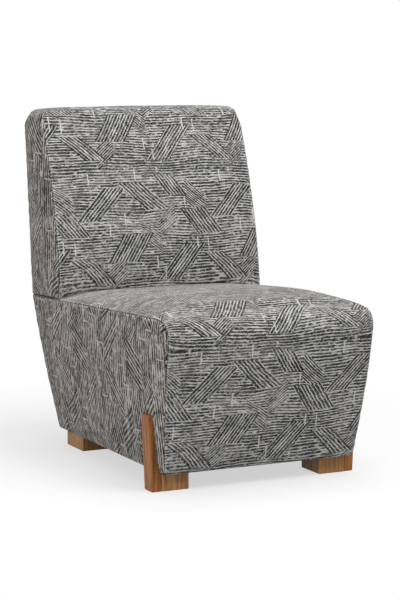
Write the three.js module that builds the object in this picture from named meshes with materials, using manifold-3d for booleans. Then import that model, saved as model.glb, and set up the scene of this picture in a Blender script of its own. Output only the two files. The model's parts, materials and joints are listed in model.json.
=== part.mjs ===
// A slipper chair: a low, armless upholstered chair whose padded back stands on a padded base,
// carried by four low timber feet. The front feet run up the chair's sides as tapered uprights.
// Millimetres, +Z up. The chair faces -Y, and X runs to the right of someone who looks at its front.
// Profiles are drawn in the side plane, where a Vector2 holds the depth (Y) and the height (Z).

import * as THREE from "three";
import { mergeVertices } from "three/addons/utils/BufferGeometryUtils.js";
import Module from "manifold-3d";

const wasm = await Module();
wasm.setup();

// Base, seen from the side
const baseLength = 634;
const frontRake = 73;
const seatLength = 612;
const noseSeamHeight = 412;
const rearSeamHeight = 382;
const noseSeamRadius = 46;
const noseMiddleRadius = 56;

// Back, seen from the side
const backThickness = 190;
const backSeamHeight = 863;
const backTopDrop = 7;
const backFrontLean = 125;
const backRearLean = 55;
const backTopFrontRadius = 20;
const backTopMiddleRadius = 30;
const backTopRearRadius = 34;
const rearRollLength = 58;
const bellyExponentShare = 1.6;

// Widths, seen from the front
const bottomWidth = 503;
const noseWidth = 544;
const backWidth = 572;
const backTopWidth = 565;
const baseSideBow = 4;

// Crowns: how far the padded middle of a panel stands out from its seams
const frontCrown = 6;
const seatCrown = 34;
const seatRearCrown = 19;
const baseSideCrown = 7;
const baseRearCrown = 9;
const backFrontCrown = 13;
const backTopCrown = 6;
const backSideCrown = 6;
const backRearCrown = 8;
const tuckLength = 40;

// Cloth and padding
const coverThickness = 4;
const dustCoverThickness = 1.2;
const frontPadThickness = 25;
const backFoamThickness = 52;
const backSidePadThickness = 22;
const bottomSidePadThickness = 10.8;
const topSidePadThickness = 11.8;
const padEase = 0.6;
const jointGap = 0.3;
const seamGap = 0.25;

// Timber frame
const panelThickness = 18;
const railThickness = 22;
const railHeight = 60;
const deckHeight = 290;
const supportRailWidth = 62;
const supportRailHeight = 30;
const backRailHeight = 34;
const stepSetback = 2;
const springRailSetback = 6;
const postTopEase = 3;
const cornerBlockLeg = 80;
const cornerBlockHeight = 42;

// Springs, their clips and the elastic webbing
const springCount = 4;
const springSpacing = 108;
const springPitch = 26;
const springHalfWidth = 25;
const springArch = 10;
const wireRadius = 1.9;
const clipSteel = 1.5;
const clipLength = 14;
const clipWidth = 18;
const clipSetback = 4;
const clipClearance = 0.7;
const deckClothThickness = 1.5;
const webbingCount = 3;
const webbingWidth = 50;
const webbingThickness = 2;

// Feet
const blockHeight = 44;
const footSetback = 30;
const frontBlockLength = 69.4;
const frontFootDepth = 86;
const uprightDepth = 43;
const uprightHeight = 180;
const uprightFootThickness = 24.5;
const uprightTopThickness = 17;
const uprightFootProud = 16.2;
const uprightTopProud = 24.5;
const uprightTopRadius = 6;
const timberEdgeRadius = 2;
const rearFootWidth = 95;
const rearFootDepth = 103;
const rearFootInset = 19.5;
const rearFootSetback = 6;

// Bolts
const boltRadius = 4;
const boltClearance = 0.3;
const boltHeadRadius = 7.5;
const boltHeadHeight = 5.5;
const footBoltInset = 51.5;
const footBoltBite = 30;
const footBoltFloor = 12;
const rearFootBoltInset = 56.5;
const backBoltHalf = 150;
const overrun = 5;
const weldTolerance = 0.001;

// How finely the soft panels are divided
const columnShares = [-1, -0.97, -0.9, -0.74, -0.42, 0, 0.42, 0.74, 0.9, 0.97, 1];
const ringShares = [1, 0.95, 0.84, 0.62, 0.3];
const flatRingShares = [1, 0.5];
const frontRowShares = [0.08, 0.22, 0.45];
const frontTopRowShare = 0.84;
const noseRowShare = 0.5;
const seatRowShares = [0.16, 0.36, 0.62, 0.84];
const backRowShares = [0.04, 0.1, 0.22, 0.38, 0.55, 0.72, 0.88];
const topRowShares = [0.5];
const rearRowShares = [0.12, 0.5, 0.88];
const baseFootShares = [0.2, 0.4, 0.6, 0.8];
const backFootShares = [0.33, 0.67];
const archShares = [0, 0.125, 0.25, 0.375, 0.5, 0.625, 0.75, 0.875, 1];
const arcSteps = 4;
const tubeSides = 5;
const stepsPerWave = 4;
const boltSides = 12;
const crownPower = 6;

// Where the crowns rise and fade, as shares of their panels, and how far the top foam reaches back
const seatPeakShare = 0.4;
const backRiseShare = 0.16;
const backFootCrownShare = 0.5;
const backFadeShare = 0.45;
const rearRiseShare = 0.3;
const foamTopReachShare = 0.7;

// How far a spring's end lies inside its clip, as a share of the clip's length
const clipGripShare = 1 / 3;

// Heights and depths that follow from these sizes
const baseBottom = blockHeight + jointGap;
const frameBottom = baseBottom + dustCoverThickness + jointGap;
const junctionDepth = seatLength - frontRake;
const baseCorners = [
  new THREE.Vector2(0, baseBottom),
  new THREE.Vector2(-frontRake, noseSeamHeight),
  new THREE.Vector2(junctionDepth + backThickness, rearSeamHeight),
  new THREE.Vector2(baseLength, baseBottom),
];
const padInset = coverThickness + jointGap;
const frameFrontInset = padInset + frontPadThickness + jointGap;
const stepDepth = junctionDepth + tuckLength + stepSetback;
const wireHeight = deckHeight + jointGap + clipSteel + jointGap + wireRadius;
const clothHeight = wireHeight + wireRadius + clipSteel + 2 * jointGap;
const foamBottom = clothHeight + deckClothThickness + jointGap;

// Half widths, from the chair's middle, of the feet and their bolts
const uprightFootHalf = bottomWidth / 2 + uprightFootProud;
const uprightTopHalf = bottomWidth / 2 + uprightTopProud;
const footInnerHalf = uprightFootHalf - uprightFootThickness - jointGap - frontBlockLength;
const footBoltHalf = bottomWidth / 2 - footBoltInset;
const rearFootOuterHalf = bottomWidth / 2 - rearFootInset;
const rearFootBoltHalf = bottomWidth / 2 - rearFootBoltInset;

// Finishes
const finishes = {
  frontCloth: { colour: 0x8f8c86, roughness: 0.93, metalness: 0 },
  sideCloth: { colour: 0x7d7974, roughness: 0.93, metalness: 0 },
  foam: { colour: 0xe6dfc6, roughness: 0.95, metalness: 0 },
  batting: { colour: 0xf1f0ec, roughness: 0.98, metalness: 0 },
  cambric: { colour: 0x1d1d1f, roughness: 0.95, metalness: 0 },
  beech: { colour: 0xc9a877, roughness: 0.7, metalness: 0 },
  plywood: { colour: 0xd2b483, roughness: 0.72, metalness: 0 },
  stainedOak: { colour: 0x8a5a34, roughness: 0.45, metalness: 0 },
  springSteel: { colour: 0x5c5f63, roughness: 0.4, metalness: 0.9 },
  webbing: { colour: 0x35302c, roughness: 0.9, metalness: 0 },
};

const chair = new THREE.Group();

// Adds one named piece to the chair.
function addPiece(name, geometry, finish) {
  const { colour, roughness, metalness } = finish;
  const material = new THREE.MeshStandardMaterial({ color: colour, roughness, metalness });
  const mesh = new THREE.Mesh(geometry, material);
  mesh.name = name;
  chair.add(mesh);
}

// Calls make once for each side of the chair, with its name and its sign along X.
function eachSide(make) {
  make("left", -1);
  make("right", 1);
}

// Small helpers on numbers and profile points
const mix = THREE.MathUtils.lerp;
const smooth = (value, from, to) => THREE.MathUtils.smoothstep(value, from, to);
const shareBetween = (value, from, to) => (value - from) / (to - from);

// A closed geometry from vertices and triangles, turned so that its faces point out.
function closedGeometry(vertices, triangles) {
  const volume = triangles.reduce((sum, [a, b, c]) => {
    return sum + vertices[a].dot(new THREE.Vector3().crossVectors(vertices[b], vertices[c]));
  }, 0);
  const facing = volume < 0 ? triangles.map(([a, b, c]) => [a, c, b]) : triangles;
  const geometry = new THREE.BufferGeometry().setFromPoints(vertices);
  geometry.setIndex(facing.flat());
  geometry.computeVertexNormals();
  return geometry;
}

// A solid for cutting and joining, from a closed geometry.
function solidOf(geometry) {
  const bare = geometry.clone();
  bare.deleteAttribute("normal");
  bare.deleteAttribute("uv");
  const merged = mergeVertices(bare, weldTolerance);
  return new wasm.Manifold(new wasm.Mesh({
    numProp: 3,
    vertProperties: Float32Array.from(merged.attributes.position.array),
    triVerts: Uint32Array.from(merged.index.array),
  }));
}

// The geometry of a solid that was cut or joined.
function geometryOf(solid) {
  const mesh = solid.getMesh();
  const geometry = new THREE.BufferGeometry();
  geometry.setAttribute("position", new THREE.BufferAttribute(mesh.vertProperties, mesh.numProp));
  geometry.setIndex(new THREE.BufferAttribute(mesh.triVerts, 1));
  geometry.computeVertexNormals();
  return geometry;
}

// A geometry with other closed geometries taken out of it.
function cut(geometry, tools) {
  return geometryOf(tools.reduce((solid, tool) => solid.subtract(solidOf(tool)), solidOf(geometry)));
}

// Where the line through a and b meets the line through c and d.
function crossing(a, b, c, d) {
  const first = b.clone().sub(a);
  const second = d.clone().sub(c);
  const along = c.clone().sub(a).cross(second) / first.cross(second);
  return a.clone().addScaledVector(first, along);
}

// A four-sided profile whose sides are moved inwards, in the order front, top, rear and bottom.
function insetProfile(corners, [front, top, rear, bottom]) {
  const insets = [front, top, rear, bottom];
  const sides = corners.map((start, index) => {
    const end = corners[(index + 1) % corners.length];
    const along = end.clone().sub(start).normalize();
    const inward = new THREE.Vector2(along.y, -along.x).multiplyScalar(insets[index]);
    return [start.clone().add(inward), end.clone().add(inward)];
  });
  return sides.map((side, index) => {
    const before = sides[(index + corners.length - 1) % corners.length];
    return crossing(before[0], before[1], side[0], side[1]);
  });
}

// Rows along a profile: each edge at its shares, and an arc at each corner that has a radius.
// A row holds its point, the way out of the profile, and its place, in edges from the start.
function profileRows(corners, radii, edgeShares) {
  const rows = [];
  const edges = corners.length - 1;
  for (let edge = 0; edge < edges; edge += 1) {
    const start = corners[edge];
    const end = corners[edge + 1];
    const along = end.clone().sub(start).normalize();
    const outward = new THREE.Vector2(-along.y, along.x);
    if (edge === 0) rows.push({ point: start.clone(), outward, place: 0 });
    for (const share of edgeShares[edge]) {
      rows.push({ point: start.clone().lerp(end, share), outward, place: edge + share });
    }
    if (edge === edges - 1) {
      rows.push({ point: end.clone(), outward, place: edges });
      continue;
    }
    const next = corners[edge + 2].clone().sub(end).normalize();
    const nextOutward = new THREE.Vector2(-next.y, next.x);
    const bisector = outward.clone().add(nextOutward).normalize();
    const centre = end.clone().addScaledVector(bisector, -radii[edge + 1] / bisector.dot(outward));
    const turn = outward.angleTo(nextOutward);
    for (let step = 0; step <= arcSteps; step += 1) {
      const way = outward.clone().rotateAround(new THREE.Vector2(), (-turn * step) / arcSteps);
      const point = centre.clone().addScaledVector(way, radii[edge + 1]);
      rows.push({ point, outward: way, place: edge + 1 });
    }
  }
  return rows;
}

// A closed sheet between two grids of points of the same size, with a rim all round.
function sheetBetween(outer, inner) {
  const columns = outer.length;
  const rows = outer[0].length;
  const vertices = [...outer.flat(), ...inner.flat()];
  const index = (side, column, row) => side * columns * rows + column * rows + row;
  const triangles = [];
  const quad = (a, b, c, d) => triangles.push([a, b, c], [a, c, d]);
  for (let column = 0; column < columns - 1; column += 1) {
    for (let row = 0; row < rows - 1; row += 1) {
      const corners = [[0, 0], [1, 0], [1, 1], [0, 1]];
      const [a, b, c, d] = corners.map(([right, up]) => index(0, column + right, row + up));
      quad(a, b, c, d);
      const [e, f, g, h] = corners.map(([right, up]) => index(1, column + right, row + up));
      quad(e, h, g, f);
    }
  }
  for (let column = 0; column < columns - 1; column += 1) {
    quad(index(0, column + 1, 0), index(0, column, 0), index(1, column, 0), index(1, column + 1, 0));
    const last = rows - 1;
    quad(index(0, column, last), index(0, column + 1, last), index(1, column + 1, last),
      index(1, column, last));
  }
  for (let row = 0; row < rows - 1; row += 1) {
    quad(index(0, 0, row), index(0, 0, row + 1), index(1, 0, row + 1), index(1, 0, row));
    const last = columns - 1;
    quad(index(0, last, row + 1), index(0, last, row), index(1, last, row), index(1, last, row + 1));
  }
  return closedGeometry(vertices, triangles);
}

// A closed panel from two outlines of equal counts, drawn as rings that close on a centre point.
// place gives a ring point its position from the profile point, its ring share and its side.
function pillow(outerOutline, innerOutline, centre, rings, place) {
  const vertices = [];
  const triangles = [];
  const count = outerOutline.length;
  [outerOutline, innerOutline].forEach((outline, side) => {
    const first = vertices.length;
    rings.forEach((share) => outline.forEach((point) => {
      vertices.push(place(centre.clone().lerp(point, share), share, side));
    }));
    vertices.push(place(centre, 0, side));
    const pole = vertices.length - 1;
    const face = (a, b, c) => triangles.push(side === 0 ? [a, b, c] : [a, c, b]);
    for (let step = 0; step < count; step += 1) {
      const next = (step + 1) % count;
      for (let ring = 0; ring < rings.length - 1; ring += 1) {
        const near = first + ring * count;
        const far = near + count;
        face(near + step, near + next, far + next);
        face(near + step, far + next, far + step);
      }
      const last = first + (rings.length - 1) * count;
      face(last + step, last + next, pole);
    }
  });
  const half = rings.length * count + 1;
  for (let step = 0; step < count; step += 1) {
    const next = (step + 1) % count;
    triangles.push([next, step, half + step], [next, half + step, half + next]);
  }
  return closedGeometry(vertices, triangles);
}

// A profile carried across the chair, from nearX to farX, which may vary over the profile.
// A rounding softens its edges where the radius is above zero.
function acrossProfile(outline, nearX, farX, thickness, edgeRadius) {
  const geometry = new THREE.ExtrudeGeometry(new THREE.Shape(outline), {
    depth: thickness - 2 * edgeRadius,
    bevelEnabled: edgeRadius > 0,
    bevelThickness: edgeRadius,
    bevelSize: edgeRadius,
    bevelOffset: -edgeRadius,
    bevelSegments: 3,
    curveSegments: arcSteps,
  });
  const position = geometry.attributes.position;
  for (let index = 0; index < position.count; index += 1) {
    const depth = position.getX(index);
    const height = position.getY(index);
    const share = (position.getZ(index) + edgeRadius) / thickness;
    const point = new THREE.Vector2(depth, height);
    position.setXYZ(index, mix(nearX(point), farX(point), share), depth, height);
  }
  const merged = solidOf(geometry);
  const flipped = merged.volume() < 0;
  return flipped ? turnedOut(geometry) : geometryOf(merged);
}

// An outline in the front plane carried along the chair's depth, with its end edges rounded.
function alongDepth(outline, near, far, edgeRadius) {
  const geometry = new THREE.ExtrudeGeometry(new THREE.Shape(outline), {
    depth: far - near - 2 * edgeRadius,
    bevelEnabled: edgeRadius > 0,
    bevelThickness: edgeRadius,
    bevelSize: edgeRadius,
    bevelOffset: -edgeRadius,
    bevelSegments: 3,
  });
  return geometry.rotateX(Math.PI / 2).translate(0, far - edgeRadius, 0);
}

// The same closed geometry with every face turned round.
function turnedOut(geometry) {
  const position = geometry.attributes.position;
  const vertices = [];
  const triangles = [];
  for (let index = 0; index < position.count; index += 1) {
    vertices.push(new THREE.Vector3().fromBufferAttribute(position, index));
  }
  for (let index = 0; index < position.count; index += 3) {
    triangles.push([index, index + 1, index + 2]);
  }
  return geometryOf(solidOf(closedGeometry(vertices, triangles)));
}

// The base's side lines
const frontSlant = Math.hypot(frontRake, noseSeamHeight - baseBottom) / (noseSeamHeight - baseBottom);
const rearRake = baseCorners[2].x - baseLength;
const rearSlant = Math.hypot(rearRake, rearSeamHeight - baseBottom) / (rearSeamHeight - baseBottom);

// The depth of the base's front line at a height, moved inwards by an inset.
function frontLine(inset, height) {
  const share = shareBetween(height, baseBottom, noseSeamHeight);
  return mix(baseCorners[0].x, baseCorners[1].x, share) + inset * frontSlant;
}

// The depth of the base's rear line at a height, moved inwards by an inset.
function rearLine(inset, height) {
  const share = shareBetween(height, baseBottom, rearSeamHeight);
  return mix(baseCorners[3].x, baseCorners[2].x, share) - inset * rearSlant;
}

// The height of the base's top seam at a depth, moved down by an inset.
function topLine(inset, depth) {
  const share = shareBetween(depth, baseCorners[1].x, baseCorners[2].x);
  return mix(noseSeamHeight, rearSeamHeight, share) - inset;
}

// Half of the base's width at a point of its side.
function baseHalf(point) {
  const forward = THREE.MathUtils.clamp(shareBetween(point.x, -frontRake, junctionDepth), 0, 1);
  const topHalf = mix(noseWidth, backWidth, forward) / 2;
  const rise = shareBetween(point.y, baseBottom, topLine(0, point.x));
  return mix(bottomWidth / 2, topHalf, rise) + baseSideBow * (1 - (2 * rise - 1) ** 2);
}

// Half of the width over the timber sides of the base, which lean out as they rise.
function frameHalf(point) {
  const bottomHalf = bottomWidth / 2 - padInset - bottomSidePadThickness;
  const topHalf = Math.min(noseWidth, backWidth) / 2 - padInset - topSidePadThickness;
  return mix(bottomHalf, topHalf, shareBetween(point.y, baseBottom, rearSeamHeight));
}

// The back's profile
const backBottomFront = topLine(0, junctionDepth) + jointGap;
const backCorners = [
  new THREE.Vector2(junctionDepth, backBottomFront),
  new THREE.Vector2(junctionDepth + backFrontLean, backSeamHeight),
  new THREE.Vector2(junctionDepth + backThickness + backRearLean, backSeamHeight - backTopDrop),
  new THREE.Vector2(junctionDepth + backThickness, rearSeamHeight + jointGap),
];
const postCoverHalf = Math.min(backWidth, backTopWidth) / 2;
const postOuterHalf = postCoverHalf - padInset - backSidePadThickness - jointGap;
const postFrontInset = padInset + backFoamThickness + webbingThickness + 2 * jointGap;
const backFrameTopInset = backTopRearRadius + postTopEase;

// Half of the back's width at a point of its side.
function backHalf(point) {
  return mix(backWidth, backTopWidth, shareBetween(point.y, backBottomFront, backSeamHeight)) / 2;
}

// The back's front swells forward low down, as lumbar support, while its rear stays straight.
function belly(point) {
  const rise = THREE.MathUtils.clamp(shareBetween(point.y, backBottomFront, backSeamHeight), 0, 1);
  const front = mix(backCorners[0].x, backCorners[1].x, rise);
  const rear = mix(backCorners[3].x, backCorners[2].x, rise);
  const forward = THREE.MathUtils.clamp(shareBetween(point.x, rear, front), 0, 1);
  const swell = backFrontLean * (rise - rise ** bellyExponentShare);
  return new THREE.Vector2(point.x - swell * forward, point.y);
}

// How much of a crown is left at a share of the half width, from the middle to the seam.
const crownFall = (share) => 1 - Math.abs(share) ** crownPower;

// A quarter wave, from 0 to 1, which comes to its height level.
const swell = (share) => Math.sin((THREE.MathUtils.clamp(share, 0, 1) * Math.PI) / 2);

// The crown along the base's front and seat, by the row's place. It tucks down below the back.
const junctionShare = seatLength / (seatLength + backThickness);
const tuckShare = tuckLength / seatLength;
function seatCrownAt(place) {
  if (place < 1) return frontCrown * (1 - (1 - place) ** crownPower);
  const share = (place - 1) / junctionShare;
  const rise = mix(frontCrown, seatCrown, swell(share / seatPeakShare));
  const dome = mix(rise, seatRearCrown, 1 - swell((1 - share) / (1 - seatPeakShare)));
  return (share < seatPeakShare ? rise : dome)
    * (1 - THREE.MathUtils.clamp((share - 1) / tuckShare, 0, 1));
}

// The crown along the back's front, top and rear roll, by the row's place.
function backCrownAt(place) {
  if (place < 1) {
    const crown = mix(backFrontCrown, backTopCrown, smooth(place, backFadeShare, 1));
    return crown * mix(backFootCrownShare, 1, smooth(place, 0, backRiseShare));
  }
  return backTopCrown;
}

// A grid of points over a wrapped panel: one column for each share of the half width.
function wrappedGrid({ corners, radii, edgeShares, crownAt, halfAt, sideInset, bend }) {
  return columnShares.map((share) => {
    const rows = profileRows(corners, radii(crownFall(share)), edgeShares);
    return rows.map(({ point, outward, place }) => {
      const raised = point.clone().addScaledVector(outward, crownAt(place) * crownFall(share));
      const bent = bend(raised);
      return new THREE.Vector3(share * (halfAt(point) - sideInset), bent.x, bent.y);
    });
  });
}

const unbent = (point) => point;
const noCrown = () => 0;

// Rows of the seat part of the top edge, then the junction with the back and the end of the tuck
const topEdgeShares = [...seatRowShares, 1, 1 + tuckShare].map((share) => share * junctionShare);
const padTopShare = shareBetween(foamBottom, baseBottom, noseSeamHeight);
const frontEdgeShares = [...frontRowShares, padTopShare, frontTopRowShare];

// The nose radius of a layer that lies at an inset.
const noseRadii = (inset) => (fall) => [0, mix(noseSeamRadius, noseMiddleRadius, fall) - inset, 0];

// An upright's inner face, by height: plumb beside the block, and leaning out above it.
function uprightInner(height) {
  const footInner = uprightFootHalf - uprightFootThickness;
  const share = THREE.MathUtils.clamp(shareBetween(height, blockHeight, uprightHeight), 0, 1);
  return mix(footInner, uprightTopHalf - uprightTopThickness, share);
}

// The room that an upright needs in the side, grown by a clearance and open to the outside.
function uprightRoom(sign, growth) {
  const outer = uprightTopHalf + overrun;
  const outline = [
    new THREE.Vector2(sign * (uprightInner(0) - growth), -overrun),
    new THREE.Vector2(sign * (uprightInner(blockHeight) - growth), blockHeight),
    new THREE.Vector2(sign * (uprightInner(uprightHeight) - growth), uprightHeight + growth),
    new THREE.Vector2(sign * outer, uprightHeight + growth),
    new THREE.Vector2(sign * outer, -overrun),
  ];
  return alongDepth(outline, footSetback - growth, footSetback + uprightDepth + growth, 0);
}

const uprightRooms = (growth) => [uprightRoom(-1, growth), uprightRoom(1, growth)];

// An upright bolt or its hole, with its axis along Z.
function boltShape(radius, low, high, x, depth) {
  const geometry = new THREE.CylinderGeometry(radius, radius, high - low, boltSides);
  geometry.rotateX(Math.PI / 2);
  return geometry.translate(x, depth, (low + high) / 2);
}

// Bolts that hold the back down on the base
const supportTop = (depth) => topLine(padInset, depth);
const supportFront = rearLine(padInset, rearSeamHeight) - supportRailWidth;
const backBoltDepth = supportFront + supportRailWidth / 2;
const backBoltLow = supportTop(backBoltDepth) - supportRailHeight;
const backBoltHigh = topLine(0, backBoltDepth) + backRailHeight;

function backBoltHoles() {
  return [-1, 1].map((sign) => {
    const radius = boltRadius + boltClearance;
    const low = backBoltLow - overrun;
    return boltShape(radius, low, backBoltHigh + overrun, sign * backBoltHalf, backBoltDepth);
  });
}

// Bolts that hold the feet up to the corner blocks
const frontBoltDepth = footSetback + frontFootDepth / 2;
const rearFootRear = baseLength - rearFootSetback;
const rearBoltDepth = rearFootRear - rearFootDepth / 2;
const footBolts = [-1, 1].flatMap((sign) => [
  { name: sign < 0 ? "front_left" : "front_right", x: sign * footBoltHalf, depth: frontBoltDepth },
  { name: sign < 0 ? "rear_left" : "rear_right", x: sign * rearFootBoltHalf, depth: rearBoltDepth },
]);

function footBoltHoles() {
  const radius = boltRadius + boltClearance;
  const low = footBoltFloor - boltClearance;
  return footBolts.map(({ x, depth }) => {
    return boltShape(radius, low, frameBottom + cornerBlockHeight + overrun, x, depth);
  });
}

// A layer of the front and seat, at an inset, with a share of its crown.
function seatLayer(inset, crownShare) {
  const corners = insetProfile(baseCorners, [inset, inset, inset + seamGap, 0]);
  return wrappedGrid({
    corners: corners.slice(0, 3),
    radii: noseRadii(inset),
    edgeShares: [frontEdgeShares, topEdgeShares],
    crownAt: (place) => crownShare * seatCrownAt(place),
    halfAt: baseHalf,
    sideInset: inset + seamGap,
    bend: unbent,
  });
}

// The room that the crowned seat takes up, which the foot of the back is shaped to.
function seatRoom() {
  return sheetBetween(seatLayer(-jointGap, 1), seatLayer(coverThickness, 0));
}

// Seat and front cover: one strip from the front's lower edge, over the nose and the seat,
// and on below the back to the rear.
function buildSeatCover() {
  const strip = sheetBetween(seatLayer(0, 1), seatLayer(coverThickness, 1));
  addPiece("seat_cover", cut(strip, backBoltHoles()), finishes.frontCloth);
}

// A closed outline of rows, from a four-sided profile with rounded corners.
function sideOutline(corners, radii, edgeShares, bottomShares) {
  const points = profileRows(corners, radii, edgeShares).map((row) => row.point);
  const last = points[points.length - 1];
  const low = bottomShares.map((share) => last.clone().lerp(points[0], share));
  return [...points, ...low];
}

// Side covers of the base, each with a lined recess for the upright of its front foot.
function buildBaseSideCover(side, sign) {
  const outlineAt = (inset) => {
    const corners = insetProfile(baseCorners, [inset, inset, inset, 0]);
    const radii = [0, noseSeamRadius - inset, 0, 0];
    const edges = [frontEdgeShares, topEdgeShares, rearRowShares];
    return sideOutline(corners, radii, edges, baseFootShares);
  };
  const middle = new THREE.Vector2(baseLength / 2, mix(baseBottom, rearSeamHeight, 1 / 2));
  const body = (thickness) => {
    const inner = seamGap + coverThickness;
    return pillow(outlineAt(seamGap), outlineAt(inner), middle, ringShares, (point, share, layer) => {
      const crown = layer === 0 ? baseSideCrown * crownFall(share) : -thickness;
      return new THREE.Vector3(sign * (baseHalf(point) + crown), point.x, point.y);
    });
  };
  const room = solidOf(uprightRoom(sign, jointGap));
  const liner = solidOf(uprightRoom(sign, padInset)).intersect(solidOf(body(liningDepth)));
  const cover = solidOf(body(coverThickness)).subtract(room).add(liner.subtract(room));
  addPiece(`base_side_cover_${side}`, geometryOf(cover), finishes.sideCloth);
}

// How deep the recess and its lining reach in from the side
const liningDepth = bottomWidth / 2 - (uprightFootHalf - uprightFootThickness) + padInset;

// Rear cover of the base: flat inside, crowned outside.
function buildBaseRearCover() {
  const layer = (inset, crown) => {
    const corners = insetProfile(baseCorners, [inset, inset + seamGap, inset, 0]);
    return wrappedGrid({
      corners: corners.slice(2, 4),
      radii: () => [0, 0],
      edgeShares: [rearRowShares],
      crownAt: (place) => crown * crownFall(2 * place - 1),
      halfAt: baseHalf,
      sideInset: inset + seamGap,
      bend: unbent,
    });
  };
  const geometry = sheetBetween(layer(0, baseRearCrown), layer(coverThickness, 0));
  addPiece("base_rear_cover", geometry, finishes.sideCloth);
}

// Dust cover below the base, with holes for the foot bolts.
function buildDustCover() {
  const outline = [
    new THREE.Vector2(frontLine(padInset, baseBottom), baseBottom),
    new THREE.Vector2(rearLine(padInset, baseBottom), baseBottom),
    new THREE.Vector2(rearLine(padInset, baseBottom), baseBottom + dustCoverThickness),
    new THREE.Vector2(frontLine(padInset, baseBottom), baseBottom + dustCoverThickness),
  ];
  const half = bottomWidth / 2 - padInset;
  const sheet = acrossProfile(outline, () => -half, () => half, 2 * half, 0);
  const tools = [...uprightRooms(padInset + jointGap), ...footBoltHoles()];
  addPiece("dust_cover", cut(sheet, tools), finishes.cambric);
}

// Seat foam: crowned above, and arched below over the springs.
function archAt(depth) {
  const front = frontLine(frameFrontInset, deckHeight);
  const share = THREE.MathUtils.clamp(shareBetween(depth, front, stepDepth), 0, 1);
  return springArch * (1 - (2 * share - 1) ** 2);
}

function buildSeatFoam() {
  const corners = insetProfile(baseCorners, [padInset, padInset, 0, 0]);
  const start = new THREE.Vector2(frontLine(padInset, foamBottom), foamBottom);
  const rear = stepDepth - jointGap;
  const end = new THREE.Vector2(rear, topLine(padInset, rear));
  const topRear = insetProfile(baseCorners, [padInset, padInset, padInset, 0])[2];
  const reach = shareBetween(end.x, corners[1].x, topRear.x);
  const top = wrappedGrid({
    corners: [start, corners[1], end],
    radii: noseRadii(padInset),
    edgeShares: [[noseRowShare], topEdgeShares.map((share) => share / reach)],
    crownAt: (place) => (place < 1 ? frontCrown : seatCrownAt(1 + (place - 1) * reach)),
    halfAt: baseHalf,
    sideInset: padInset + padEase,
    bend: unbent,
  }).map((column) => column.slice(1));
  const bottom = top.map((column, index) => column.map((point, row) => {
    const depth = mix(start.x, rear, row / (column.length - 1));
    const height = foamBottom + archAt(depth);
    const half = baseHalf(new THREE.Vector2(depth, height)) - padInset - padEase;
    return new THREE.Vector3(columnShares[index] * half, depth, height);
  }));
  addPiece("seat_foam", sheetBetween(top, bottom), finishes.foam);
}

// Pad on the front of the frame, below the seat foam.
function buildFrontPad() {
  const layer = (inset, crown) => {
    const low = new THREE.Vector2(frontLine(inset, frameBottom), frameBottom);
    const height = foamBottom - jointGap;
    const high = new THREE.Vector2(frontLine(inset, height), height);
    return wrappedGrid({
      corners: [low, high],
      radii: () => [0, 0],
      edgeShares: [frontRowShares.map((share) => share / padTopShare)],
      crownAt: (place) => crown * seatCrownAt(place * padTopShare),
      halfAt: baseHalf,
      sideInset: padInset + seamGap,
      bend: unbent,
    });
  };
  const pad = sheetBetween(layer(padInset, 1), layer(padInset + frontPadThickness, 0));
  addPiece("front_pad", cut(pad, uprightRooms(padInset + jointGap)), finishes.foam);
}

// The outline of a timber side, which steps up behind the seat to carry the back.
function steppedOutline(frontInset, rearInset) {
  const topRear = insetProfile(baseCorners, [0, padInset, rearInset, 0])[2];
  return [
    new THREE.Vector2(frontLine(frontInset, frameBottom), frameBottom),
    new THREE.Vector2(frontLine(frontInset, deckHeight), deckHeight),
    new THREE.Vector2(stepDepth, deckHeight),
    new THREE.Vector2(stepDepth, topLine(padInset, stepDepth)),
    topRear,
    new THREE.Vector2(rearLine(rearInset, frameBottom), frameBottom),
  ];
}

// Timber side of the base, leaning out as it rises.
function buildSidePanel(side, sign) {
  const outer = (point) => sign * frameHalf(point);
  const inner = (point) => sign * (frameHalf(point) - panelThickness);
  const outline = steppedOutline(frameFrontInset, padInset);
  const geometry = acrossProfile(outline, inner, outer, panelThickness, 0);
  addPiece(`base_side_panel_${side}`, geometry, finishes.plywood);
}

// Pad between a timber side and its cover.
function buildSidePad(side, sign) {
  const corners = steppedOutline(frameFrontInset, padInset);
  const outline = corners.flatMap((corner, index) => {
    const next = corners[(index + 1) % corners.length];
    return [corner, corner.clone().lerp(next, 1 / 2)];
  });
  const centre = new THREE.Vector2(stepDepth + railThickness, mix(frameBottom, deckHeight, 1 / 2));
  const geometry = pillow(outline, outline, centre, flatRingShares, (point, share, layer) => {
    const outer = baseHalf(point) - padInset - padEase;
    const inner = frameHalf(point) + jointGap;
    return new THREE.Vector3(sign * (layer === 0 ? outer : inner), point.x, point.y);
  });
  const room = uprightRoom(sign, padInset + jointGap);
  addPiece(`base_side_pad_${side}`, cut(geometry, [room]), finishes.batting);
}

// A rail across the base, between the timber sides.
function addBaseRail(name, outline, tools) {
  const reach = (point) => frameHalf(point) - panelThickness - jointGap;
  const rail = acrossProfile(outline, (point) => -reach(point), reach, bottomWidth, 0);
  addPiece(name, tools.length > 0 ? cut(rail, tools) : rail, finishes.beech);
}

// A rail that leans with the base's front or rear line, between two heights.
function leaningRail(line, inset, low, high) {
  return [
    new THREE.Vector2(line(inset, low), low),
    new THREE.Vector2(line(inset + railThickness, low), low),
    new THREE.Vector2(line(inset + railThickness, high), high),
    new THREE.Vector2(line(inset, high), high),
  ];
}

const springRailRear = stepDepth - springRailSetback;
const springRailFront = springRailRear - railThickness;

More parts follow.
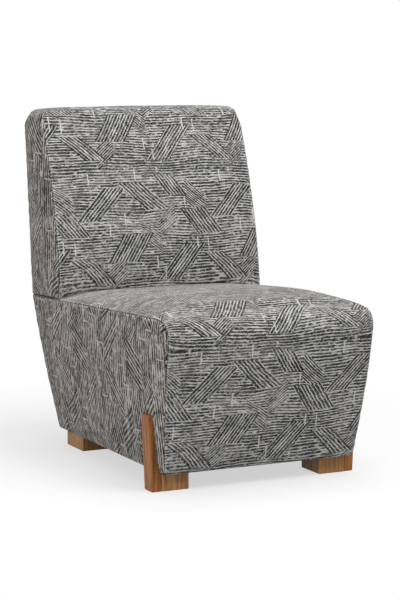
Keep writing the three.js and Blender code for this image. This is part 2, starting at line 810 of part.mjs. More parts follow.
function buildBaseRails() {
  const lowTop = frameBottom + railHeight;
  const deckLow = deckHeight - railHeight;
  addBaseRail("front_bottom_rail", leaningRail(frontLine, frameFrontInset, frameBottom, lowTop), []);
  addBaseRail("front_top_rail", leaningRail(frontLine, frameFrontInset, deckLow, deckHeight), []);
  addBaseRail("rear_bottom_rail", leaningRail(rearLine, padInset, frameBottom, lowTop), []);
  addBaseRail("rear_spring_rail", [
    new THREE.Vector2(springRailFront, deckLow),
    new THREE.Vector2(springRailRear, deckLow),
    new THREE.Vector2(springRailRear, deckHeight),
    new THREE.Vector2(springRailFront, deckHeight),
  ], []);
  const topRear = insetProfile(baseCorners, [0, padInset, padInset, 0])[2];
  const low = backBoltLow;
  addBaseRail("back_support_rail", [
    new THREE.Vector2(supportFront, low),
    new THREE.Vector2(rearLine(padInset, low), low),
    topRear,
    new THREE.Vector2(supportFront, supportTop(supportFront)),
  ], backBoltHoles());
}

// Triangular blocks in the base's lower corners, which take the foot bolts.
function buildCornerBlocks() {
  const cornerHalf = frameHalf(new THREE.Vector2(0, baseBottom)) - panelThickness - jointGap;
  const heights = [frameBottom, frameBottom + cornerBlockHeight];
  const fronts = heights.map((height) => frontLine(frameFrontInset + railThickness, height));
  const rears = heights.map((height) => rearLine(padInset + railThickness, height));
  const frontCorner = Math.max(...fronts) + jointGap;
  const rearCorner = Math.min(...rears) - jointGap;
  eachSide((side, sign) => {
    [["front", frontCorner, 1], ["rear", rearCorner, -1]].forEach(([end, corner, way]) => {
      const shape = new THREE.Shape([
        new THREE.Vector2(sign * cornerHalf, corner),
        new THREE.Vector2(sign * (cornerHalf - cornerBlockLeg), corner),
        new THREE.Vector2(sign * cornerHalf, corner + way * cornerBlockLeg),
      ]);
      const depth = cornerBlockHeight;
      const block = new THREE.ExtrudeGeometry(shape, { depth, bevelEnabled: false });
      block.translate(0, 0, frameBottom);
      addPiece(`corner_block_${end}_${side}`, cut(block, footBoltHoles()), finishes.beech);
    });
  });
}

// Each end of a spring stops short of its last crossing, inside its clip.
const springEndPhase = Math.PI / 3;

// A sinuous spring's wire: even waves across the seat, carried over a low arch.
class SpringWire extends THREE.Curve {
  constructor(centreX, front, rear) {
    super();
    this.centreX = centreX;
    this.front = front;
    this.rear = rear;
    this.waves = Math.max(2, Math.round((rear - front) / springPitch));
  }

  getPoint(share, target = new THREE.Vector3()) {
    const phase = mix(springEndPhase, this.waves * Math.PI - springEndPhase, share);
    const pitch = (this.rear - this.front) / (this.waves - 1);
    const progress = (phase - Math.PI / 2) / Math.PI;
    const depth = this.front + pitch * (progress + Math.sin(2 * phase) / (2 * Math.PI));
    const x = this.centreX - springHalfWidth * Math.cos(phase);
    const arch = springArch * (1 - (2 * shareBetween(depth, this.front, this.rear) - 1) ** 2);
    return target.set(x, depth, wireHeight + Math.max(arch, 0));
  }

  // Equal steps follow the waves, so that each wave has the same points.
  getUtoTmapping(share) {
    return share;
  }
}

// The depths of the clips that hold the springs' ends
const frontClipDepth = frontLine(frameFrontInset, deckHeight) + clipSetback + clipLength;
const rearClipDepth = springRailRear - clipSetback - clipLength;

function buildSprings() {
  const section = new THREE.Shape();
  for (let side = 0; side < tubeSides; side += 1) {
    const turn = (2 * Math.PI * side) / tubeSides;
    const corner = new THREE.Vector2(wireRadius * Math.cos(turn), wireRadius * Math.sin(turn));
    if (side === 0) section.moveTo(corner.x, corner.y);
    else section.lineTo(corner.x, corner.y);
  }
  section.closePath();
  for (let number = 0; number < springCount; number += 1) {
    const centreX = (number - (springCount - 1) / 2) * springSpacing;
    const front = frontClipDepth - clipLength * clipGripShare;
    const rear = rearClipDepth + clipLength * clipGripShare;
    const wire = new SpringWire(centreX, front, rear);
    const steps = wire.waves * stepsPerWave;
    const geometry = new THREE.ExtrudeGeometry(section, { steps, extrudePath: wire });
    addPiece(`seat_spring_${number + 1}`, geometryOf(solidOf(geometry)), finishes.springSteel);
    addPiece(`front_spring_clip_${number + 1}`, clipGeometry(centreX, front, 1), finishes.springSteel);
    addPiece(`rear_spring_clip_${number + 1}`, clipGeometry(centreX, rear, -1), finishes.springSteel);
  }
}

// A bent steel clip that holds one end of a spring down on its rail. Its mouth faces the seat.
function clipGeometry(centreX, wireDepth, way) {
  const low = wireHeight - wireRadius - jointGap - clipSteel;
  const high = wireHeight + wireRadius + jointGap + clipSteel;
  const closed = wireDepth - way * (wireRadius + clipClearance + clipSteel);
  const open = wireDepth + way * (clipLength / 2);
  const outline = [
    new THREE.Vector2(closed, low),
    new THREE.Vector2(open, low),
    new THREE.Vector2(open, low + clipSteel),
    new THREE.Vector2(closed + way * clipSteel, low + clipSteel),
    new THREE.Vector2(closed + way * clipSteel, high - clipSteel),
    new THREE.Vector2(open, high - clipSteel),
    new THREE.Vector2(open, high),
    new THREE.Vector2(closed, high),
  ];
  const near = () => centreX - clipWidth / 2;
  const far = () => centreX + clipWidth / 2;
  return acrossProfile(outline, near, far, clipWidth, 0);
}

// Cloth over the springs, below the seat foam.
function buildDeckCloth() {
  const front = frontLine(frameFrontInset, deckHeight);
  const layer = (height) => [-1, 1].map((sign) => archShares.map((share) => {
    const depth = mix(front, stepDepth - jointGap, share);
    const half = frameHalf(new THREE.Vector2(depth, deckHeight));
    return new THREE.Vector3(sign * half, depth, height + archAt(depth));
  }));
  const cloth = sheetBetween(layer(clothHeight + deckClothThickness), layer(clothHeight));
  addPiece("seat_deck_cloth", cloth, finishes.webbing);
}

// Front, top and rear roll of the back, in one strip.
function backStripCorners(inset) {
  const corners = insetProfile(backCorners, [inset, inset, inset, 0]);
  const down = backCorners[3].clone().sub(backCorners[2]).normalize();
  const inward = new THREE.Vector2(down.y, -down.x);
  const end = backCorners[2].clone().addScaledVector(down, rearRollLength);
  return [corners[0], corners[1], corners[2], end.addScaledVector(inward, inset)];
}

const backRadii = (inset) => (fall) => [
  0,
  mix(backTopFrontRadius, backTopMiddleRadius, fall) - inset,
  backTopRearRadius - inset,
  0,
];

function buildBackFrontCover() {
  const layer = (inset) => wrappedGrid({
    corners: backStripCorners(inset),
    radii: backRadii(inset),
    edgeShares: [backRowShares, topRowShares, []],
    crownAt: backCrownAt,
    halfAt: backHalf,
    sideInset: inset + seamGap,
    bend: belly,
  });
  const strip = sheetBetween(layer(0), layer(coverThickness));
  addPiece("back_front_cover", cut(strip, [seatRoom()]), finishes.frontCloth);
}

// Side covers of the back.
function buildBackSideCover(side, sign) {
  const outlineAt = (inset) => {
    const corners = insetProfile(backCorners, [inset, inset, inset, 0]);
    const radii = [0, backTopFrontRadius - inset, backTopRearRadius - inset, 0];
    const edges = [backRowShares, topRowShares, rearRowShares];
    return sideOutline(corners, radii, edges, backFootShares).map(belly);
  };
  const middle = backCorners.reduce((sum, corner) => sum.add(corner), new THREE.Vector2());
  middle.divideScalar(backCorners.length);
  const inner = seamGap + coverThickness;
  const place = (point, share, layer) => {
    const crown = layer === 0 ? backSideCrown * crownFall(share) : -coverThickness;
    return new THREE.Vector3(sign * (backHalf(point) + crown), point.x, point.y);
  };
  const cover = pillow(outlineAt(seamGap), outlineAt(inner), middle, ringShares, place);
  addPiece(`back_side_cover_${side}`, cut(cover, [seatRoom()]), finishes.sideCloth);
}

// Rear cover of the back: flat inside, crowned outside.
function buildBackRearCover() {
  const layer = (inset, crown) => {
    const strip = backStripCorners(inset);
    const corners = insetProfile(backCorners, [inset, inset, inset, 0]);
    const down = corners[3].clone().sub(strip[3]).setLength(2 * seamGap);
    return wrappedGrid({
      corners: [strip[3].clone().add(down), corners[3]],
      radii: () => [0, 0],
      edgeShares: [rearRowShares],
      crownAt: (place) => rearCrownAt(place, crown),
      halfAt: backHalf,
      sideInset: inset + seamGap,
      bend: unbent,
    });
  };
  const cover = sheetBetween(layer(0, backRearCrown), layer(coverThickness, 0));
  addPiece("back_rear_cover", cover, finishes.sideCloth);
}

// The crown down the back's rear, from the roll's to the panel's own, which fades at its foot.
function rearCrownAt(place, crown) {
  if (crown === 0) return 0;
  return mix(backTopCrown, crown, smooth(place, 0, rearRiseShare)) * (1 - place ** crownPower);
}

// Foam over the front and the top of the back's frame.
function buildBackFoam() {
  const layer = (front, top, radii, crownAt, bend) => {
    const corners = insetProfile(backCorners, [front, top, 0, 0]);
    const end = corners[1].clone().lerp(insetProfile(backCorners, [0, top, 0, 0])[2], foamTopReachShare);
    return wrappedGrid({
      corners: [corners[0], corners[1], end],
      radii,
      edgeShares: [backRowShares, topRowShares],
      crownAt,
      halfAt: backHalf,
      sideInset: padInset + seamGap,
      bend,
    });
  };
  const outer = layer(padInset, padInset, backRadii(padInset), backCrownAt, belly);
  const innerInset = padInset + backFoamThickness;
  const inner = layer(innerInset, backFrameTopInset - jointGap, () => [0, padInset, 0], noCrown, unbent);
  addPiece("back_foam", cut(sheetBetween(outer, inner), [seatRoom()]), finishes.foam);
}

// The outline of the back's timber posts.
const postCorners = insetProfile(backCorners, [postFrontInset, backFrameTopInset, padInset, 0]);

function buildBackPost(side, sign) {
  const outer = () => sign * postOuterHalf;
  const inner = () => sign * (postOuterHalf - railThickness);
  const post = acrossProfile(postCorners, inner, outer, railThickness, 0);
  addPiece(`back_post_${side}`, post, finishes.plywood);
}

function buildBackSidePad(side, sign) {
  const near = () => sign * (postOuterHalf + jointGap);
  const far = (point) => sign * (backHalf(point) - padInset);
  const pad = acrossProfile(postCorners, near, far, backSidePadThickness, 0);
  addPiece(`back_side_pad_${side}`, pad, finishes.batting);
}

// Rails between the posts, with the lower one on the bolts from the base.
function buildBackRails() {
  const half = postOuterHalf - railThickness - jointGap;
  const [bottomFront, topFront, topRear, bottomRear] = postCorners;
  const frontAt = (height) => mix(bottomFront.x, topFront.x,
    shareBetween(height, bottomFront.y, topFront.y));
  const rearAt = (height) => mix(bottomRear.x, topRear.x,
    shareBetween(height, bottomRear.y, topRear.y));
  const topLow = topRear.y - railHeight;
  const top = [
    new THREE.Vector2(frontAt(topLow), topLow),
    topFront,
    topRear,
    new THREE.Vector2(rearAt(topLow), topLow),
  ];
  const height = bottomRear.y + backRailHeight;
  const low = [
    new THREE.Vector2(supportFront, topLine(0, supportFront) + jointGap),
    new THREE.Vector2(supportFront, height),
    new THREE.Vector2(rearAt(height), height),
    bottomRear,
  ];
  const topRail = acrossProfile(top, () => -half, () => half, 2 * half, 0);
  const lowRail = acrossProfile(low, () => -half, () => half, 2 * half, 0);
  addPiece("back_top_rail", topRail, finishes.beech);
  addPiece("back_bottom_rail", cut(lowRail, backBoltHoles()), finishes.beech);
}

// Elastic webbing across the front of the posts, behind the foam.
function buildWebbing() {
  const front = insetProfile(backCorners, [postFrontInset - jointGap - webbingThickness, 0, 0, 0]);
  const rear = insetProfile(backCorners, [postFrontInset - jointGap, 0, 0, 0]);
  const usable = postCorners[1].y - postCorners[0].y;
  const depthAt = ([low, high], height) => mix(low.x, high.x, shareBetween(height, low.y, high.y));
  for (let number = 0; number < webbingCount; number += 1) {
    const middle = postCorners[0].y + (usable * (number + 1)) / (webbingCount + 1);
    const low = middle - webbingWidth / 2;
    const high = middle + webbingWidth / 2;
    const outline = [
      new THREE.Vector2(depthAt(front, low), low),
      new THREE.Vector2(depthAt(front, high), high),
      new THREE.Vector2(depthAt(rear, high), high),
      new THREE.Vector2(depthAt(rear, low), low),
    ];
    const reach = postOuterHalf;
    const strap = acrossProfile(outline, () => -reach, () => reach, 2 * reach, 0);
    addPiece(`back_webbing_${number + 1}`, strap, finishes.webbing);
  }
}

// Bolts up through the base's rear rail into the back's lower rail.
function buildBackBolts() {
  eachSide((side, sign) => {
    const low = backBoltLow - jointGap;
    const profile = [
      new THREE.Vector2(0, low - boltHeadHeight),
      new THREE.Vector2(boltHeadRadius, low - boltHeadHeight),
      new THREE.Vector2(boltHeadRadius, low),
      new THREE.Vector2(boltRadius, low),
      new THREE.Vector2(boltRadius, backBoltHigh),
      new THREE.Vector2(0, backBoltHigh),
    ];
    const bolt = new THREE.LatheGeometry(profile, boltSides).rotateX(Math.PI / 2);
    bolt.translate(sign * backBoltHalf, backBoltDepth, 0);
    addPiece(`back_bolt_${side}`, geometryOf(solidOf(bolt)), finishes.springSteel);
  });
}

// Front feet: a low block, and an upright that laps its outer end and runs up the side.
function buildFrontFoot(side, sign) {
  const near = footSetback;
  const far = footSetback + uprightDepth;
  const shoulder = uprightHeight - uprightTopRadius;
  const innerTop = uprightInner(uprightHeight);
  const outerShoulder = mix(uprightFootHalf, uprightTopHalf, shoulder / uprightHeight);
  const front = new THREE.Shape();
  front.moveTo(sign * uprightInner(0), 0);
  front.lineTo(sign * uprightInner(blockHeight), blockHeight);
  front.lineTo(sign * uprightInner(shoulder), shoulder);
  front.quadraticCurveTo(sign * innerTop, uprightHeight, sign * (innerTop + uprightTopRadius),
    uprightHeight);
  front.lineTo(sign * (uprightTopHalf - uprightTopRadius), uprightHeight);
  front.quadraticCurveTo(sign * uprightTopHalf, uprightHeight, sign * outerShoulder, shoulder);
  front.lineTo(sign * uprightFootHalf, 0);
  const rounded = new THREE.Shape();
  rounded.moveTo(near - overrun, -overrun);
  rounded.lineTo(far + overrun, -overrun);
  rounded.lineTo(far + overrun, shoulder);
  rounded.lineTo(far, shoulder);
  rounded.absarc(far - uprightTopRadius, shoulder, uprightTopRadius, 0, Math.PI / 2, false);
  rounded.absarc(near + uprightTopRadius, shoulder, uprightTopRadius, Math.PI / 2, Math.PI, false);
  rounded.lineTo(near - overrun, shoulder);
  const blank = solidOf(alongDepth(front.getPoints(arcSteps), near, far, timberEdgeRadius));
  const from = () => sign * (footInnerHalf - overrun);
  const to = () => sign * (uprightTopHalf + overrun);
  const sides = acrossProfile(rounded.getPoints(arcSteps), from, to, uprightTopThickness, 0);
  const post = geometryOf(blank.intersect(solidOf(sides)));
  addPiece(`front_foot_upright_${side}`, post, finishes.stainedOak);

  const outline = [
    new THREE.Vector2(near, 0),
    new THREE.Vector2(near + frontFootDepth, 0),
    new THREE.Vector2(near + frontFootDepth, blockHeight),
    new THREE.Vector2(near, blockHeight),
  ];
  const end = () => sign * (uprightInner(0) - jointGap);
  const start = () => sign * footInnerHalf;
  const length = uprightInner(0) - jointGap - footInnerHalf;
  const block = acrossProfile(outline, start, end, length, timberEdgeRadius);
  addPiece(`front_foot_block_${side}`, cut(block, footBoltHoles()), finishes.stainedOak);
}

function buildRearFoot(side, sign) {
  const near = rearFootRear - rearFootDepth;
  const outline = [
    new THREE.Vector2(near, 0),
    new THREE.Vector2(rearFootRear, 0),
    new THREE.Vector2(rearFootRear, blockHeight),
    new THREE.Vector2(near, blockHeight),
  ];
  const start = () => sign * (rearFootOuterHalf - rearFootWidth);
  const end = () => sign * rearFootOuterHalf;
  const block = acrossProfile(outline, start, end, rearFootWidth, timberEdgeRadius);
  addPiece(`rear_foot_${side}`, cut(block, footBoltHoles()), finishes.stainedOak);
}

function buildFootBolts() {
  footBolts.forEach(({ name, x, depth }) => {
    const bolt = boltShape(boltRadius, footBoltFloor, frameBottom + footBoltBite, x, depth);
    addPiece(`foot_bolt_${name}`, bolt, finishes.springSteel);
  });
}

// The base
buildSeatCover();
eachSide(buildBaseSideCover);
buildBaseRearCover();
buildDustCover();
buildSeatFoam();
buildFrontPad();
eachSide(buildSidePad);
eachSide(buildSidePanel);
buildBaseRails();
buildCornerBlocks();
buildSprings();
buildDeckCloth();

// The back
buildBackFrontCover();
eachSide(buildBackSideCover);
buildBackRearCover();
buildBackFoam();
eachSide(buildBackSidePad);
eachSide(buildBackPost);
buildBackRails();
buildWebbing();
buildBackBolts();

// The feet
eachSide(buildFrontFoot);
eachSide(buildRearFoot);
buildFootBolts();

// The origin lies on the floor, below the middle of the chair.
const bounds = new THREE.Box3().setFromObject(chair);
const centre = bounds.getCenter(new THREE.Vector3());
chair.position.set(-centre.x, -centre.y, -bounds.min.z);

export default chair;
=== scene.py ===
"""Dresses a slipper chair: padded covers over foam, a waterfall nose, and stained timber feet.

The soft panels repeat the chair's driving sizes in metres. Depth runs back from the base's front
lower edge, and height runs up from the floor. The front, seat and back strips are grids that follow
a side profile, and the side panels are rings that close on their middle.
"""

from __future__ import annotations

import json
import logging
import math
from abc import ABC, abstractmethod
from dataclasses import dataclass, field
from enum import Enum
from functools import partial
from typing import Any, Callable, Sequence

import bmesh
import bpy
import numpy as np
from mathutils import Matrix, Vector

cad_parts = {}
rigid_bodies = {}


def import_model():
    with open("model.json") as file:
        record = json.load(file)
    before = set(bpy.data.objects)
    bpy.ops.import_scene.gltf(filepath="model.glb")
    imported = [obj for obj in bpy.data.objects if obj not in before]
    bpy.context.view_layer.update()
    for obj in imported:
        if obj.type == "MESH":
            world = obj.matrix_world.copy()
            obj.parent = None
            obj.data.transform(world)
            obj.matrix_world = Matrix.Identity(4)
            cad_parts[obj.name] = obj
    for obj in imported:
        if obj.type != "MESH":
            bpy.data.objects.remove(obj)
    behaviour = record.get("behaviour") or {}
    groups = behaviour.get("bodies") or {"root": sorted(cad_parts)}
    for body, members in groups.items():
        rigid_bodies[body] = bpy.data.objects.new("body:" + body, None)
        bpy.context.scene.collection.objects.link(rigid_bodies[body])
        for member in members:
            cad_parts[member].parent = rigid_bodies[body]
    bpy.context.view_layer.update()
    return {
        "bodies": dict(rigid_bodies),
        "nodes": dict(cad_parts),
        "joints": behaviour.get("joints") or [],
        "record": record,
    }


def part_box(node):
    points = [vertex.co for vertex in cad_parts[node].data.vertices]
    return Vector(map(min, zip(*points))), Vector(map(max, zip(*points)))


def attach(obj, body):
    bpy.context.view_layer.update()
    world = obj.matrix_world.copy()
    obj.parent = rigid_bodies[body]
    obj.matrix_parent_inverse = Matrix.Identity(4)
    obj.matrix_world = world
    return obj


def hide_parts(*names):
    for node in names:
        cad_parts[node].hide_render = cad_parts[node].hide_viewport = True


LOG = logging.getLogger("slipper_chair")
BODY = "root"
CLOTH_MAP = "weave"
SEAM_MAP = "seam"
ARC_STEPS = 8
WAVE_COUNT = 7
WAVE_STRETCH = (0.6, 1.7)
WAVE_SCALE = 3.2
MERGE_DISTANCE = 1e-6
FLAT_ANGLE = math.radians(0.4)
EASE_FACTOR = 0.5
SEAT_SEED, BASE_SIDE_SEED, BASE_REAR_SEED = 11, 21, 31
BACK_SEED, BACK_SIDE_SEED, BACK_REAR_SEED = 41, 51, 61
PAD_SEED, FLAT_SEED = 70, 90
WHITE = (1.0, 1.0, 1.0, 1.0)
Colour = tuple[float, float, float, float]


class Side(Enum):
    """The chair's sides, with their sign along X."""

    LEFT = -1
    RIGHT = 1

    @property
    def word(self) -> str:
        """The side's name in a piece's name."""
        return self.name.lower()


class Slot(Enum):
    """The record's material slots."""

    FRONT_CLOTH = "front_cloth"
    SIDE_CLOTH = "side_cloth"
    FOAM = "foam"
    BATTING = "batting"
    CAMBRIC = "cambric"
    WEBBING = "webbing"
    FRAME_TIMBER = "frame_timber"
    PLYWOOD = "plywood"
    STAINED_OAK = "stained_oak"
    SPRING_STEEL = "spring_steel"


# Numbers and curves


def mix(first: Any, second: Any, share: Any) -> Any:
    """The value at a share of the way from the first to the second."""
    return first + (second - first) * share


def unit(vector: np.ndarray) -> np.ndarray:
    """A vector's direction."""
    return vector / np.linalg.norm(vector)


def distances(points: np.ndarray) -> np.ndarray:
    """How far along a path each of its points lies."""
    return np.concatenate([[0.0], np.cumsum(np.linalg.norm(np.diff(points, axis=0), axis=1))])


def read_off(places: np.ndarray, marks: np.ndarray, pairs: np.ndarray) -> np.ndarray:
    """The pairs at places along a path, from the pairs at its marks."""
    return np.column_stack([np.interp(places, marks, pairs[:, axis]) for axis in (0, 1)])


def smooth(value: Any, low: float, high: float) -> Any:
    """A share from 0 to 1 that rises smoothly between low and high."""
    share = np.clip((value - low) / (high - low), 0.0, 1.0)
    return share * share * (3.0 - 2.0 * share)


def quarter_wave(share: float) -> float:
    """A quarter wave, from 0 to 1, which comes to its height level."""
    return math.sin(min(max(share, 0.0), 1.0) * math.pi / 2.0)


def waves(along: np.ndarray, across: np.ndarray, length: float, seed: int) -> np.ndarray:
    """Smooth random waves between about -1 and 1.

    Args:
        along: Places along the cloth, in metres.
        across: Places across it, in metres.
        length: The typical length of a wave, in metres.
        seed: Fixes the waves.

    Returns:
        One height for each place.
    """
    draw = np.random.default_rng(seed)
    total = np.zeros(np.broadcast(along, across).shape)
    for _ in range(WAVE_COUNT):
        turn = draw.uniform(0.0, math.tau)
        reach = length * draw.uniform(*WAVE_STRETCH)
        phase = draw.uniform(0.0, math.tau)
        place = along * math.cos(turn) + across * math.sin(turn)
        total += np.sin(math.tau * place / reach + phase)
    return total / WAVE_SCALE


@dataclass(frozen=True)
class ChairSizes:
    """Sizes that the chair's pieces share, in metres, and the lines that follow from them."""

    depth_shift: float
    base_bottom: float
    base_length: float = 0.634
    front_rake: float = 0.073
    seat_length: float = 0.612
    nose_seam_height: float = 0.412
    rear_seam_height: float = 0.382
    nose_seam_radius: float = 0.046
    nose_middle_radius: float = 0.056
    back_thickness: float = 0.190
    back_seam_height: float = 0.863
    back_top_drop: float = 0.007
    back_front_lean: float = 0.125
    back_rear_lean: float = 0.055
    back_top_front_radius: float = 0.020
    back_top_middle_radius: float = 0.030
    back_top_rear_radius: float = 0.034
    rear_roll_length: float = 0.058
    belly_power: float = 1.6
    bottom_width: float = 0.503
    nose_width: float = 0.544
    back_width: float = 0.572
    back_top_width: float = 0.565
    side_bow: float = 0.004
    front_crown: float = 0.006
    seat_crown: float = 0.034
    seat_rear_crown: float = 0.019
    base_side_crown: float = 0.007
    base_rear_crown: float = 0.009
    back_front_crown: float = 0.013
    back_top_crown: float = 0.006
    back_side_crown: float = 0.006
    back_rear_crown: float = 0.008
    crown_power: float = 6.0
    tuck_length: float = 0.040
    cover_thickness: float = 0.004
    joint_gap: float = 0.0004
    seam_gap: float = 0.00025
    seat_peak_share: float = 0.4
    back_fade_share: float = 0.45
    back_foot_share: float = 0.5
    back_rise_share: float = 0.16
    rear_rise_share: float = 0.3

    @property
    def junction_depth(self) -> float:
        """The depth at which the back's front meets the seat."""
        return self.seat_length - self.front_rake

    @property
    def base_corners(self) -> np.ndarray:
        """The base's side profile: front low, front high, rear high and rear low."""
        rear = self.junction_depth + self.back_thickness
        return np.array([
            (0.0, self.base_bottom),
            (-self.front_rake, self.nose_seam_height),
            (rear, self.rear_seam_height),
            (self.base_length, self.base_bottom),
        ])

    @property
    def back_corners(self) -> np.ndarray:
        """The back's side profile: front low, front high, rear high and rear low."""
        front, rear = self.junction_depth, self.junction_depth + self.back_thickness
        return np.array([
            (front, float(self.top_line(front)) + self.joint_gap),
            (front + self.back_front_lean, self.back_seam_height),
            (rear + self.back_rear_lean, self.back_seam_height - self.back_top_drop),
            (rear, self.rear_seam_height + self.joint_gap),
        ])

    def top_line(self, depth: Any) -> Any:
        """The height of the base's top seam at a depth."""
        share = (depth + self.front_rake) / (self.seat_length + self.back_thickness)
        return mix(self.nose_seam_height, self.rear_seam_height, share)

    def base_half(self, points: np.ndarray) -> np.ndarray:
        """Half of the base's width at points of its side."""
        depth, height = points[..., 0], points[..., 1]
        forward = np.clip((depth + self.front_rake) / self.seat_length, 0.0, 1.0)
        top_half = mix(self.nose_width, self.back_width, forward) / 2.0
        rise = (height - self.base_bottom) / (self.top_line(depth) - self.base_bottom)
        bow = self.side_bow * (1.0 - (2.0 * rise - 1.0) ** 2)
        return mix(self.bottom_width / 2.0, top_half, rise) + bow

    def back_half(self, points: np.ndarray) -> np.ndarray:
        """Half of the back's width at points of its side."""
        low = self.back_corners[0][1]
        share = (points[..., 1] - low) / (self.back_seam_height - low)
        return mix(self.back_width, self.back_top_width, share) / 2.0

    def belly(self, points: np.ndarray) -> np.ndarray:
        """The back's points, with its front swelled forward low down."""
        corners = self.back_corners
        rise = np.clip((points[..., 1] - corners[0][1]) / (self.back_seam_height - corners[0][1]), 0, 1)
        front = mix(corners[0][0], corners[1][0], rise)
        rear = mix(corners[3][0], corners[2][0], rise)
        forward = np.clip((points[..., 0] - rear) / (front - rear), 0.0, 1.0)
        swelled = points.copy()
        swelled[..., 0] -= self.back_front_lean * (rise - rise**self.belly_power) * forward
        return swelled

    def fall(self, share: Any) -> Any:
        """How much of a crown is left at a share of the half width."""
        return 1.0 - np.abs(share) ** self.crown_power

    def seat_crown_at(self, place: float) -> float:
        """The crown along the base's front and seat, which tucks down below the back."""
        if place < 1.0:
            return self.front_crown * (1.0 - (1.0 - place) ** self.crown_power)
        peak_share = self.seat_peak_share
        share = (place - 1.0) * (self.seat_length + self.back_thickness) / self.seat_length
        rise = mix(self.front_crown, self.seat_crown, quarter_wave(share / peak_share))
        dome = mix(rise, self.seat_rear_crown, 1.0 - quarter_wave((1.0 - share) / (1.0 - peak_share)))
        tucked = np.clip((share - 1.0) * self.seat_length / self.tuck_length, 0.0, 1.0)
        return float((rise if share < peak_share else dome) * (1.0 - tucked))

    def back_crown_at(self, place: float) -> float:
        """The crown along the back's front, top and rear roll."""
        if place >= 1.0:
            return self.back_top_crown
        crown = mix(self.back_front_crown, self.back_top_crown, smooth(place, self.back_fade_share, 1.0))
        return float(crown * mix(self.back_foot_share, 1.0, smooth(place, 0.0, self.back_rise_share)))

    def rear_crown_at(self, place: float) -> float:
        """The crown down the back's rear, which fades at its foot."""
        rise = mix(self.back_top_crown, self.back_rear_crown, smooth(place, 0.0, self.rear_rise_share))
        return float(rise * (1.0 - place**self.crown_power))

    def seat_top(self, share: float) -> float:
        """How high the crowned seat stands over its seam line where the back meets it."""
        return float(self.seat_rear_crown * self.fall(share))


def inset_profile(corners: np.ndarray, insets: Sequence[float]) -> np.ndarray:
    """A closed profile with each side moved inwards by its own inset."""
    count = len(corners)
    lines = []
    for index in range(count):
        start, end = corners[index], corners[(index + 1) % count]
        along = unit(end - start)
        inward = np.array([along[1], -along[0]]) * insets[index]
        lines.append((start + inward, along))
    points = []
    for index in range(count):
        (a, u), (b, v) = lines[index - 1], lines[index]
        across = u[0] * v[1] - u[1] * v[0]
        reach = ((b[0] - a[0]) * v[1] - (b[1] - a[1]) * v[0]) / across
        points.append(a + u * reach)
    return np.array(points)


@dataclass
class Rows:
    """Rows along a side profile: points, the way out at each, and places in edges from the start."""

    points: np.ndarray
    outward: np.ndarray
    places: np.ndarray


def profile_rows(
    corners: np.ndarray,
    radii: Sequence[float],
    edge_shares: Sequence[Sequence[float]],
    start_share: float = 0.0,
) -> Rows:
    """Rows along an open profile, with each edge at its shares and an arc at each inner corner.

    Args:
        corners: The profile's corners, depth and height.
        radii: The radius at each corner.
        edge_shares: The shares of each edge that get a row.
        start_share: Where on the first edge the rows start.

    Returns:
        The rows in order.
    """
    rows: list[tuple[np.ndarray, np.ndarray, float]] = []
    edges = len(corners) - 1
    for edge in range(edges):
        start, end = corners[edge], corners[edge + 1]
        along = unit(end - start)
        way = np.array([-along[1], along[0]])
        if edge == 0:
            rows.append((mix(start, end, start_share), way, start_share))
        rows += [(mix(start, end, share), way, edge + share) for share in edge_shares[edge]]
        if edge == edges - 1:
            rows.append((end, way, float(edges)))
            break
        onward = unit(corners[edge + 2] - end)
        next_way = np.array([-onward[1], onward[0]])
        bisector = unit(way + next_way)
        centre = end - bisector * radii[edge + 1] / bisector.dot(way)
        turn = math.acos(float(np.clip(way.dot(next_way), -1.0, 1.0)))
        for step in range(ARC_STEPS + 1):
            angle = -turn * step / ARC_STEPS
            cosine, sine = math.cos(angle), math.sin(angle)
            turned = np.array([way[0] * cosine - way[1] * sine, way[0] * sine + way[1] * cosine])
            rows.append((centre + turned * radii[edge + 1], turned, edge + 1.0))
    return Rows(*(np.array(values) for values in zip(*rows)))


def densify(control: np.ndarray, counts: Sequence[int]) -> np.ndarray:
    """Smooth curves through control points, for many columns at once.

    Args:
        control: Control points, columns by rows by values.
        counts: How many steps each stretch between two control rows gets.

    Returns:
        The finer rows, columns by rows by values.
    """
    steps = np.linalg.norm(np.diff(control[..., :3], axis=1), axis=-1)[..., None]
    steps = np.maximum(steps, 1e-6)
    slopes = np.diff(control, axis=1) / steps
    inner = (slopes[:, :-1] * steps[:, 1:] + slopes[:, 1:] * steps[:, :-1]) / (steps[:, 1:] + steps[:, :-1])
    tangents = np.concatenate([slopes[:, :1], inner, slopes[:, -1:]], axis=1)
    rows = []
    for stretch, count in enumerate(counts):
        first, last = control[:, stretch], control[:, stretch + 1]
        reach = steps[:, stretch]
        start, end = tangents[:, stretch] * reach, tangents[:, stretch + 1] * reach
        for step in range(count):
            t = step / count
            rows.append(
                first * (2 * t**3 - 3 * t**2 + 1)
                + start * (t**3 - 2 * t**2 + t)
                + last * (3 * t**2 - 2 * t**3)
                + end * (t**3 - t**2)
            )
    rows.append(control[:, -1])
    return np.stack(rows, axis=1)


# Meshes


@dataclass
class Surface:
    """A grid of points on a panel, with the way out and the place on the cloth at each.

    The seam values are distances from the panel's long edges, and the counts are the fine steps of
    each stretch of control rows.
    """

    points: np.ndarray
    outward: np.ndarray
    cloth: np.ndarray
    seam: np.ndarray
    counts: list[int]


